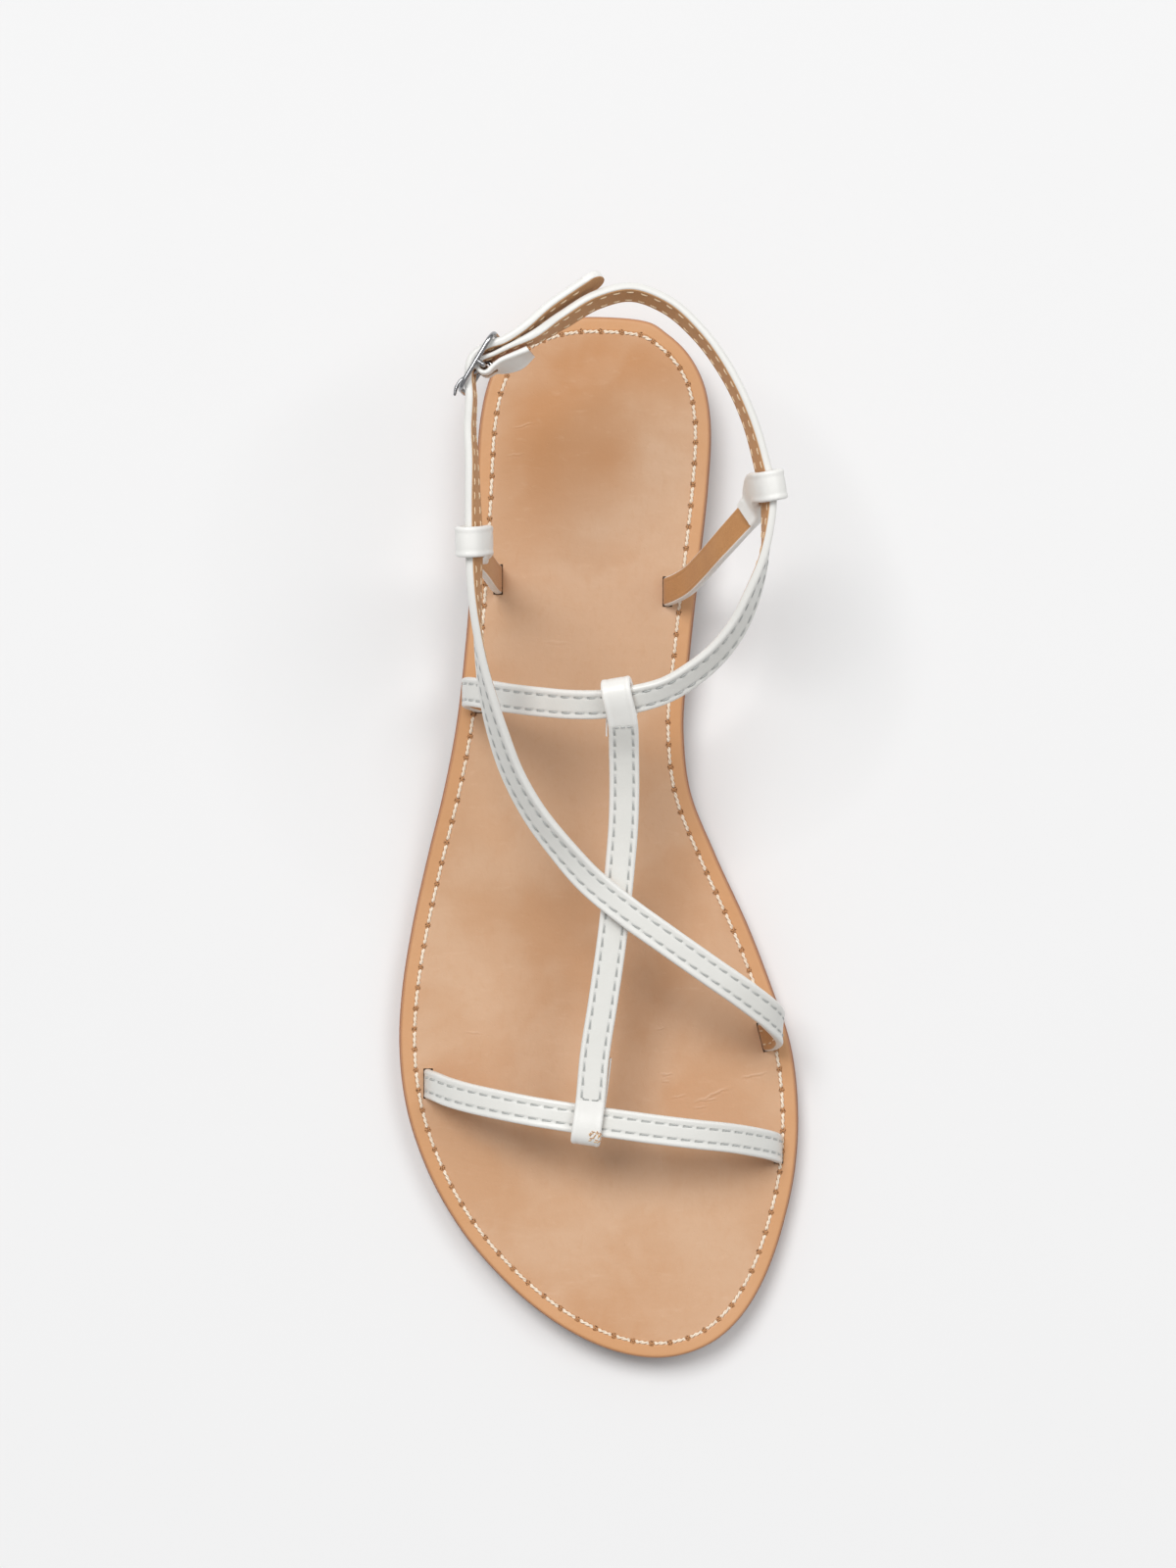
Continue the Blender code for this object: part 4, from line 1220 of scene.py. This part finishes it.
def folded_loop(host, turn, straight, distance, thick, leaving, folds):
    """Knots of a strap end folded round a host, from its cut end to where the strap leaves.

    The strap lies over the host's outer face, turns round the edge on the turn side and comes
    back along the inner face.
    """
    side = host.width * turn
    width = host.along if host.along.dot(leaving[0].width) > 0 else -host.along

    def at(across, out):
        return Knot(host.place + side * across + host.out * out, width, thick)

    over = [at(straight, distance), at(-straight, distance)] if straight else [at(0, distance)]
    under = [at(-straight, -distance), at(straight, -distance)] if straight else [at(0, -distance)]
    bend = [
        at(straight + distance * math.cos(math.radians(angle)), distance * math.sin(math.radians(angle)))
        for angle in LOOP_TURNS
    ]
    run = stations_along(over[-1:] + leaving, FINE_STEP)
    outward = 1 if run[0].out.dot(host.out) > 0 else -1
    end = []
    for fold in folds:
        station = next(one for one in run if side.dot(host.place - one.place) >= fold.away)
        lean = math.radians(fold.lean)
        # The lean turns the upper edge towards the strap that the fold is sewn to.
        out = station.out * outward
        upward = 1 if station.width.z > 0 else -1
        tilted = station.width * math.cos(lean) + out * math.sin(lean) * upward
        place = station.place - out * fold.apart + station.width * fold.aside
        end.append(Knot(place, tilted, fold.thick))
    return end[::-1] + under + bend + over


def sewn_loop(host, turn, leaving, folds):
    return folded_loop(host, turn, LOOP_STRAIGHT, LOOP_DISTANCE, STRAP_THICK, leaving, folds)


def buckle_axes():
    """Along the buckle to the heel, out from the foot, and up its height."""
    along = direction(BUCKLE_COMPASS, 0)
    up = direction(BUCKLE_COMPASS + 90, 90 - BUCKLE_LEAN)
    return along, along.cross(up) * -1, up


def buckle_place(along, out, up=0.0):
    axes = buckle_axes()
    return BUCKLE_CENTRE + axes[0] * along + axes[1] * out + axes[2] * up


def passes(rows, width):
    return [Knot(buckle_place(row.along, row.out), width, row.thick) for row in rows]


def toe_knots():
    start, end = slot_knots(SLOTS["toe_lateral"]), slot_knots(SLOTS["toe_medial"])
    return start + knots_of(TOE_STRAP) + end[::-1]


def diagonal_knots():
    run = slot_knots(SLOTS["diagonal"]) + knots_of(DIAGONAL_STRAP)
    return run + passes(DIAGONAL_IN_BUCKLE, buckle_axes()[2]) + knots_of(DIAGONAL_TIP)


def instep_heel_knots():
    along, out, up = buckle_axes()
    arriving = knots_of(INSTEP_HEEL_STRAP) + passes(HEEL_TO_BUCKLE, -up)
    bar = Station(buckle_place(0, -BAR_SET_IN), up, along, out, 2 * WIRE_RADIUS)
    distance = WIRE_RADIUS + GAP + FOLD_THICK / 2
    loop = folded_loop(bar, -1, 0, distance, FOLD_THICK, arriving[::-1], BUCKLE_FOLD)
    return slot_knots(SLOTS["instep"]) + arriving + loop[::-1]


def centre_knots():
    run = knots_of(CENTRE_STRAP)
    front = sewn_loop(host_at(toe_knots(), FRONT_CROSSING), 1, run, FRONT_FOLD)
    rear = sewn_loop(host_at(instep_heel_knots(), REAR_CROSSING), -1, run[::-1], REAR_FOLD)
    return front + run + rear[::-1]


def medial_tab_knots():
    run = slot_knots(SLOTS["medial_tab"]) + knots_of(MEDIAL_TAB)
    host = host_at(instep_heel_knots(), MEDIAL_CROSSING)
    return run + sewn_loop(host, -1, run[::-1], MEDIAL_TAB_FOLD)[::-1]


def lateral_tab_knots():
    run = slot_knots(SLOTS["lateral_tab"]) + knots_of(LATERAL_TAB)
    host = host_at(diagonal_knots(), LATERAL_CROSSING)
    return run + sewn_loop(host, 1, run[::-1], LATERAL_TAB_FOLD)[::-1]


# Where two rows of stitches run along a strap: from and to, in millimetres from its start, and how
# far they are from its middle
Sewn = namedtuple("Sewn", "start end offset")


def on_strap(station, across, out):
    return station.place + station.width * across + station.out * out


def band_ring(station, half_width):
    """One closed section of a strap, with what each point is made of."""
    beads = list(BAND_PROFILE) + [bead._replace(across=-bead.across) for bead in BAND_PROFILE[-2:0:-1]]
    half_thick = station.thick / 2
    places = [on_strap(station, bead.across * half_width, bead.out * half_thick) for bead in beads]
    return places, beads


def tip_rings(stations):
    """Half widths for a strap whose far end is rounded, with the stations that the curve needs."""
    end = stations[-1]
    half = STRAP_WIDTH / 2
    rings = [(one, half) for one in stations if (one.place - end.place).length > TIP_ROUNDING]
    for i in range(TIP_STEPS + 1):
        share = math.sin(math.pi / 2 * i / TIP_STEPS) * TIP_END
        place = end.place - end.along * TIP_ROUNDING * (1 - share)
        rings.append((end._replace(place=place), half * math.sqrt(1 - share * share)))
    return rings


def make_band(name, node, knots, sewn, leathers, rounded=False):
    """A strap as a fine mesh, white outside, lined inside and raw at its cut ends."""
    stations = stations_along(knots, BAND_STEP)
    rings = tip_rings(stations) if rounded else [(one, STRAP_WIDTH / 2) for one in stations]
    lengths = lengths_of([one for one, _ in rings])
    points, marks, row_offsets = [], [], []
    for (station, half), length in zip(rings, lengths):
        places, beads = band_ring(station, half)
        inside = sewn is not None and sewn.start <= length <= sewn.end
        for place, bead in zip(places, beads):
            points.append(place)
            marks.append((length, bead.across * half))
            row_offsets.append(sewn.offset if inside else 0.0)
    count = len(beads)
    kinds = [int("lining" in (beads[i].leather, beads[(i + 1) % count].leather)) for i in range(count)]
    kinds = kinds * (len(rings) - 1) + [2, 0 if rounded else 2]
    faces = tube_faces(len(rings), count)
    band = add_object(name, points, faces, leathers, kinds)
    set_map(band, "band", marks)
    set_values(band, "rows", row_offsets)
    tidy_mesh(band, sharp=55, merge=0.0002)
    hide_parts(node)
    return band


# Threads


# One stitch from end to end: how far along it, how wide and how far down, in lengths and radii
Bulge = namedtuple("Bulge", "share wide sink")
STITCH_SHAPE = (
    Bulge(-0.5, 0.25, -1.1),
    Bulge(-0.44, 0.72, -0.55),
    Bulge(-0.3, 1.0, -0.05),
    Bulge(-0.1, 1.0, 0.12),
    Bulge(0.1, 1.0, 0.12),
    Bulge(0.3, 1.0, -0.05),
    Bulge(0.44, 0.72, -0.55),
    Bulge(0.5, 0.25, -1.1),
)


def capsule(place, along, up, length, radius):
    """Points and faces of one short stitch whose ends dip into the leather."""
    side = along.cross(up).normalized()
    points = []
    for bulge in STITCH_SHAPE:
        centre = place + along * length * bulge.share + up * radius * bulge.sink
        points += round_ring(centre, side, up, radius * bulge.wide, THREAD_SIDES)
    return points, tube_faces(len(STITCH_SHAPE), THREAD_SIDES)


def rope(place, along, up, length, radius):
    """A stitch of two strands twisted round each other."""
    side = along.cross(up).normalized()
    points, faces = [], []
    for strand in (0.0, math.pi):
        faces += tube_faces(ROPE_STEPS + 1, THREAD_SIDES, len(points))
        for j in range(ROPE_STEPS + 1):
            share = j / ROPE_STEPS - 0.5
            sink = SINK_DEPTH * max(0.0, abs(share) - SINK_FROM) / (0.5 - SINK_FROM)
            spin = strand + share * length / radius * STRAND_SPIN
            centre = place + along * length * share - up * radius * sink
            centre += turned(side, up, spin) * radius * STRAND_OFFSET
            points += round_ring(centre, side, up, radius * STRAND_RADIUS, THREAD_SIDES)
    return points, faces


def join_shapes(name, shapes, material):
    """Many small shapes as one mesh, in one of the part's material slots."""
    points, faces = [], []
    for shape_points, shape_faces in shapes:
        first = len(points)
        points.extend(shape_points)
        faces.extend([[first + i for i in face] for face in shape_faces])
    thing = add_object(name, points, faces, [material])
    tidy_mesh(thing, sharp=180, merge=0.0)
    return thing


def station_at(stations, lengths, length):
    """The station nearest to a distance along the strap."""
    index = int(np.clip(np.searchsorted(lengths, length), 0, len(stations) - 1))
    return stations[index]


def sew_rows(name, knots, sewn, face, material, radius=STITCH_RADIUS, length=STITCH_LENGTH):
    """Two rows of stitches along a strap, on its white face (1) or its lining (-1)."""
    stations, lengths = fine_stations(knots)
    shapes = []
    for number in range(int(lengths[-1] / STITCH_PITCH) + 1):
        middle = (number + 0.5) * STITCH_PITCH
        if not sewn.start <= middle <= sewn.end:
            continue
        station = station_at(stations, lengths, middle)
        for side in (-1, 1):
            height = face * (station.thick / 2 * ROW_LEVEL[face] + radius * STITCH_LIFT)
            place = on_strap(station, side * sewn.offset, height)
            shapes.append(capsule(place, station.along, station.out * face, length, radius))
    return join_shapes(name, shapes, material)


def sew_margin(thread, tack):
    """The insole's margin stitch: a twisted stitch between two punched holes, all round."""
    medial, lateral = outline_rows(math.pi, SOLE_ROWS)
    inset = INSOLE_INSET + MARGIN_INSET
    loop = [line - outward * inset for line, outward in zip(*medial)]
    loop += [line - outward * inset for line, outward in list(zip(*lateral))[::-1]]
    there, back = walked(medial[0]), walked(lateral[0])
    measure = np.concatenate([there, there[-1] + back[-1] - back[::-1]])
    pitch = measure[-1] / MARGIN_STITCHES
    stitches, ties = [], []

    def on_top(length):
        x = np.interp(length % measure[-1], measure, [place[0] for place in loop])
        y = np.interp(length % measure[-1], measure, [place[1] for place in loop])
        return Vector((x, y + SOLE_MIDDLE_Y, insole_top(y + SOLE_MIDDLE_Y)))

    for number in range(MARGIN_STITCHES):
        # The holes are half way along each turn of the margin map, and a stitch joins two of them.
        start, end = on_top((number + 0.5) * pitch), on_top((number + 1.5) * pitch)
        along = (end - start).normalized()
        up = (Vector((0, 0, 1)) - along * along.z).normalized()
        length = (end - start).length - MARGIN_SHORTER
        middle = (start + end) / 2 + up * MARGIN_LIFT
        stitches.append(rope(middle, along, up, length, MARGIN_THREAD))
        # Each hole is crossed by two short ties, whose turns wander a little from hole to hole.
        for turn in (0.9 + 0.3 * math.sin(2.1 * number), -0.75 + 0.25 * math.cos(1.7 * number)):
            across = turned(along, along.cross(up), turn)
            ties.append(capsule(start + up * MARGIN_LIFT, across, up, TIE_LENGTH, TIE_RADIUS))
    margin = join_shapes("margin_thread", stitches, thread)
    knots = join_shapes("margin_ties", ties, tack)
    return margin, knots


def station_near(knots, spot):
    """The station that faces up nearest to a spot seen from above, and its distance along."""
    stations, lengths = fine_stations(knots)
    facing = [i for i, one in enumerate(stations) if one.out.z > FACING_UP]
    best = min(facing, key=lambda i: plan_distance(stations[i], spot))
    return stations[best], float(lengths[best])


def sew_cross_row(name, station, offset, count, material):
    """A short row of stitches across a strap, where two rows end."""
    spread = 2 * offset / count
    shapes = []
    for number in range(count):
        across = (number + 0.5 - count / 2) * spread
        place = on_strap(station, across, station.thick / 2 * CROSS_LEVEL)
        shapes.append(capsule(place, station.width, station.out, spread * CROSS_SHARE, STITCH_RADIUS))
    return join_shapes(name, shapes, material)


# The few stitches of the toe loop's tack: along the strap, across it and their turn
Tack = namedtuple("Tack", "along across turn")
TACKS = (
    Tack(0.0, -0.2, 20),
    Tack(0.8, -0.9, 80),
    Tack(0.9, 0.5, -50),
    Tack(-0.6, -1.2, 60),
    Tack(0.1, 1.1, 10),
    Tack(0.6, 1.4, 110),
    Tack(-0.8, 0.4, 80),
    Tack(-0.9, 1.2, 30),
    Tack(0.3, -1.5, -30),
)


def sew_tack(name, knots, spot, radius, shift, material):
    """A few stitches at the corner of the toe loop, which close it by hand."""
    centre, length = station_near(knots, spot)
    aside = (Vector((spot.x, spot.y, centre.place.z)) - centre.place).dot(centre.width)
    stations, lengths = fine_stations(knots)
    shapes = []
    for tack in TACKS:
        station = station_at(stations, lengths, length + tack.along + shift)
        turn = math.radians(tack.turn + TACK_TURN * shift)
        across = aside + tack.across * TACK_SPREAD + shift
        place = on_strap(station, across, station.thick / 2 * TACK_LEVEL + TACK_LIFT)
        along = turned(station.along, station.width, turn)
        shapes.append(capsule(place, along, station.out, TACK_LENGTH, radius))
    return join_shapes(name, shapes, material)


# Buckle


def wire_shape(path, radii, up, closed=False):
    """Points and faces of a round wire along a path that nowhere runs along the up direction."""
    points = []
    count = len(path)
    for i, place in enumerate(path):
        before = path[(i - 1) % count] if closed else path[max(i - 1, 0)]
        after = path[(i + 1) % count] if closed else path[min(i + 1, count - 1)]
        along = (after - before).normalized()
        side = along.cross(up).normalized()
        points += round_ring(place, side, side.cross(along), radii[i], WIRE_SIDES)
    return points, tube_faces(count, WIRE_SIDES, closed=closed)


def frame_path():
    half_length = FRAME_LENGTH / 2 - WIRE_RADIUS
    half_height = FRAME_HEIGHT / 2 - WIRE_RADIUS
    path = []
    for side, level, first in ((1, 1, 0), (-1, 1, 90), (-1, -1, 180), (1, -1, 270)):
        for turn in np.linspace(0, 90, CORNER_STEPS):
            angle = math.radians(first + turn)
            path.append(
                buckle_place(
                    side * (half_length - FRAME_CORNER) + FRAME_CORNER * math.cos(angle),
                    0.0,
                    level * (half_height - FRAME_CORNER) + FRAME_CORNER * math.sin(angle),
                )
            )
    return path


def bar_path():
    """From the frame's top to its bottom, bent in towards the foot between them."""
    top = FRAME_HEIGHT / 2 - WIRE_RADIUS
    upper = [(top, 0.0), ((top + BAR_STRAIGHT) / 2, BAR_SET_IN * BAR_BEND), (BAR_STRAIGHT, BAR_SET_IN)]
    lower = [(-height, depth) for height, depth in reversed(upper)]
    rows = upper + lower
    found = smooth(range(len(rows)), rows, np.linspace(0, len(rows) - 1, BAR_STEPS))
    return [buckle_place(0.0, -depth, height) for height, depth in found]


def make_buckle(chrome):
    along, out, up = buckle_axes()
    outline, bar = frame_path(), bar_path()
    frame_wire = wire_shape(outline, [WIRE_RADIUS] * len(outline), out, closed=True)
    bar_wire = wire_shape(bar, [WIRE_RADIUS * BAR_SLIMMER] * len(bar), along)
    buckle = join_shapes("buckle_wire", [frame_wire, bar_wire], chrome)
    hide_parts("buckle_frame")
    centre = buckle_place(0.0, -BAR_SET_IN)
    ring = round_ring(centre, along, out, PRONG_RING, PRONG_RING_STEPS)
    rows = [(*buckle_place(reach.along, reach.out), reach.radius) for reach in PRONG_ARM]
    found = smooth(range(len(rows)), rows, np.linspace(0, len(rows) - 1, PRONG_STEPS))
    arm = [Vector(value[:3]) for value in found]
    tip = arm[-1] + (arm[-1] - arm[-2]).normalized() * PRONG_END_LENGTH
    radii = [value[3] for value in found] + [PRONG_END_RADIUS]
    ring_wire = wire_shape(ring, [PRONG_RADIUS] * len(ring), up, closed=True)
    arm_wire = wire_shape(arm + [tip], radii, up)
    prong = join_shapes("buckle_pin", [ring_wire, arm_wire], chrome)
    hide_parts("buckle_prong")
    return buckle, prong


def punch_holes(band, material):
    """The hole that the prong is through, and the spare ones."""
    start, end = [buckle_place(PRONG_ARM[i].along, PRONG_ARM[i].out) for i in (0, 2)]
    overrun = (end - start).normalized() * PRONG_OVERRUN
    bars = [bar_shape("hole_used", start, end + overrun, PRONG_RADIUS + PRONG_PLAY, material)]
    stations = stations_along(diagonal_knots(), FINE_STEP)
    used = min(range(len(stations)), key=lambda i: (stations[i].place - (start + end) / 2).length)
    pitch = round(HOLE_PITCH / FINE_STEP)
    for number, step in enumerate(SPARE_HOLES):
        station = stations[used + step * pitch]
        through = station.out * STRAP_THICK
        ends = station.place - through, station.place + through
        bars.append(bar_shape(f"spare_hole_{number}", *ends, HOLE_RADIUS, material))
    cut_out(band, bars)


def open_fold(band, material):
    """The slot in the fold round the bar, where the prong's ring sits."""
    along, out, up = buckle_axes()
    size = (PRONG_SLOT_LENGTH, PRONG_SLOT_HEIGHT, PRONG_SLOT_LENGTH)
    place = buckle_place(0.0, -BAR_SET_IN)
    cut_out(band, [box_shape("slot_prong", place, (along, up, out), size, material)])


# Scene


def make_floor():
    nodes = Nodes("floor_paper")
    cloud = nodes.noise(nodes.object_place(), 60.0)
    nodes.paint(nodes.mix(cloud, (0.80, 0.80, 0.80), (0.81, 0.81, 0.81)))
    nodes.finish(Roughness=0.9, Specular_IOR_Level=0.1)
    corners = [(x * FLOOR_HALF, y * FLOOR_HALF, 0.0) for x, y in ((-1, -1), (1, -1), (1, 1), (-1, 1))]
    floor = add_object("floor", corners, [(0, 1, 2, 3)], [nodes.made])


Lamp = namedtuple("Lamp", "name x y z size power")
LAMPS = (
    Lamp("key", 1500.0, -2600.0, 5280.0, 3000.0, 229.0),
    Lamp("side", -2300.0, -1500.0, 4160.0, 2600.0, 66.0),
)


def make_light(lamp):
    data = bpy.data.lights.new(lamp.name, "AREA")
    data.shape = "DISK"
    data.size = lamp.size * MM
    data.energy = lamp.power
    light = link_object(lamp.name, data)
    place = Vector((lamp.x, lamp.y, lamp.z))
    light.location = place * MM
    light.rotation_euler = (-place).to_track_quat("-Z", "Y").to_euler()


def make_world():
    """Pale above, darker near the horizon, so that the metal has something to reflect."""
    nodes = Nodes("studio", bpy.data.worlds, "Background")
    place = nodes.add("ShaderNodeTexCoord").outputs["Generated"]
    height = nodes.add("ShaderNodeSeparateXYZ", Vector=place).outputs[2]
    share = nodes.range(height, *HORIZON_TO_SKY, smooth_ends=False)
    nodes.set("Color", nodes.mix(share, HORIZON_COLOUR, SKY_COLOUR))
    nodes.set("Strength", SKY_STRENGTH)
    bpy.context.scene.world = nodes.made


def make_camera():
    data = bpy.data.cameras.new("camera")
    data.sensor_width = CAMERA_SENSOR
    data.lens = CAMERA_LENS
    data.clip_end = CAMERA_REACH
    camera = link_object("camera", data)
    camera.location = Vector(CAMERA_PLACE) * MM
    camera.rotation_euler = (0.0, 0.0, math.pi)
    bpy.context.scene.camera = camera


def make_sandal():
    raw = make_fibres(
        "raw_leather_edge", 0.35, (5.0, 0.75, 0.5), (0.46, 0.22, 0.09), (0.80, 0.58, 0.38), 0.8, (0.6, 0.15)
    )
    # Painted shade: the slot walls are a darker cut leather than the raw edges, for the shade inside the
    # slots
    shaded_slot_wall = make_fibres(
        "shaded_slot_wall", 0.5, (4.0, 0.7), (0.26, 0.115, 0.05), (0.44, 0.22, 0.11), 0.85, (0.5, 0.12)
    )
    leathers = [make_white_leather(), make_lining(), raw]
    # Painted shade: the straps' white stitching thread is painted grey, as it lies sunk in its groove
    shaded_strap_thread = make_thread("strap_thread", (0.33, 0.34, 0.33), (0.54, 0.55, 0.53))
    cream_thread = make_thread("cream_thread", (0.72, 0.55, 0.39), (1.0, 0.93, 0.80))
    gold_thread = make_thread("gold_thread", (0.50, 0.28, 0.10), (0.85, 0.62, 0.36), 0.45)
    pale_thread = make_thread("pale_thread", (0.64, 0.43, 0.23), (1.0, 0.84, 0.60), 0.5)
    brown_thread = make_thread("brown_thread", (0.40, 0.165, 0.05), (0.62, 0.32, 0.14))
    pieces = [
        make_insole(make_insole_leather(), shaded_slot_wall),
        make_outsole(make_outsole_leather()),
        make_heel(make_heel_leather()),
    ]
    pieces.extend(sew_margin(cream_thread, brown_thread))
    centre = centre_knots()
    front_end, front_length = station_near(centre, FRONT_ROW_END)
    rear_end, rear_length = station_near(centre, REAR_ROW_END)
    tip, fold = lengths_of(diagonal_knots())[-1], lengths_of(instep_heel_knots())[-1]
    plan = (
        ("toe_strap", toe_knots(), Sewn(SEWN_START, FAR_END, TOE_ROWS)),
        ("centre_strap", centre, Sewn(front_length, rear_length, CENTRE_ROWS)),
        ("diagonal_strap", diagonal_knots(), Sewn(SEWN_START, tip - SEWN_BEFORE_TIP, DIAGONAL_ROWS)),
        ("instep_heel_strap", instep_heel_knots(), Sewn(SEWN_START, fold - SEWN_BEFORE_FOLD, INSTEP_ROWS)),
        ("medial_tab", medial_tab_knots(), None),
        ("lateral_tab", lateral_tab_knots(), None),
    )
    for name, knots, sewn in plan:
        band = make_band(name, f"upper_{name}", knots, sewn, leathers, rounded=name == "diagonal_strap")
        pieces.append(band)
        if name == "diagonal_strap":
            punch_holes(band, raw)
        if name == "instep_heel_strap":
            open_fold(band, raw)
        if sewn is not None:
            pieces.append(sew_rows(f"{name}_thread", knots, sewn, 1, shaded_strap_thread))
            inner = LINING_STITCH_RADIUS, LINING_STITCH_LENGTH
            pieces.append(sew_rows(f"{name}_lining_thread", knots, sewn, -1, pale_thread, *inner))
    pieces.append(sew_cross_row("front_loop_row", front_end, CENTRE_ROWS, 2, shaded_strap_thread))
    pieces.append(sew_cross_row("rear_loop_row", rear_end, CENTRE_ROWS, 3, shaded_strap_thread))
    pieces.append(sew_tack("tack_gold", centre, TACK_PLACE, 0.13, 0.0, gold_thread))
    pieces.append(sew_tack("tack_brown", centre, TACK_PLACE, 0.12, 0.25, brown_thread))
    pieces.extend(make_buckle(make_chrome()))
    for piece in pieces:
        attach(piece, "root")


bpy.context.scene.view_settings.view_transform = "Standard"
make_world()
make_floor()
for lamp in LAMPS:
    make_light(lamp)
make_camera()
make_sandal()
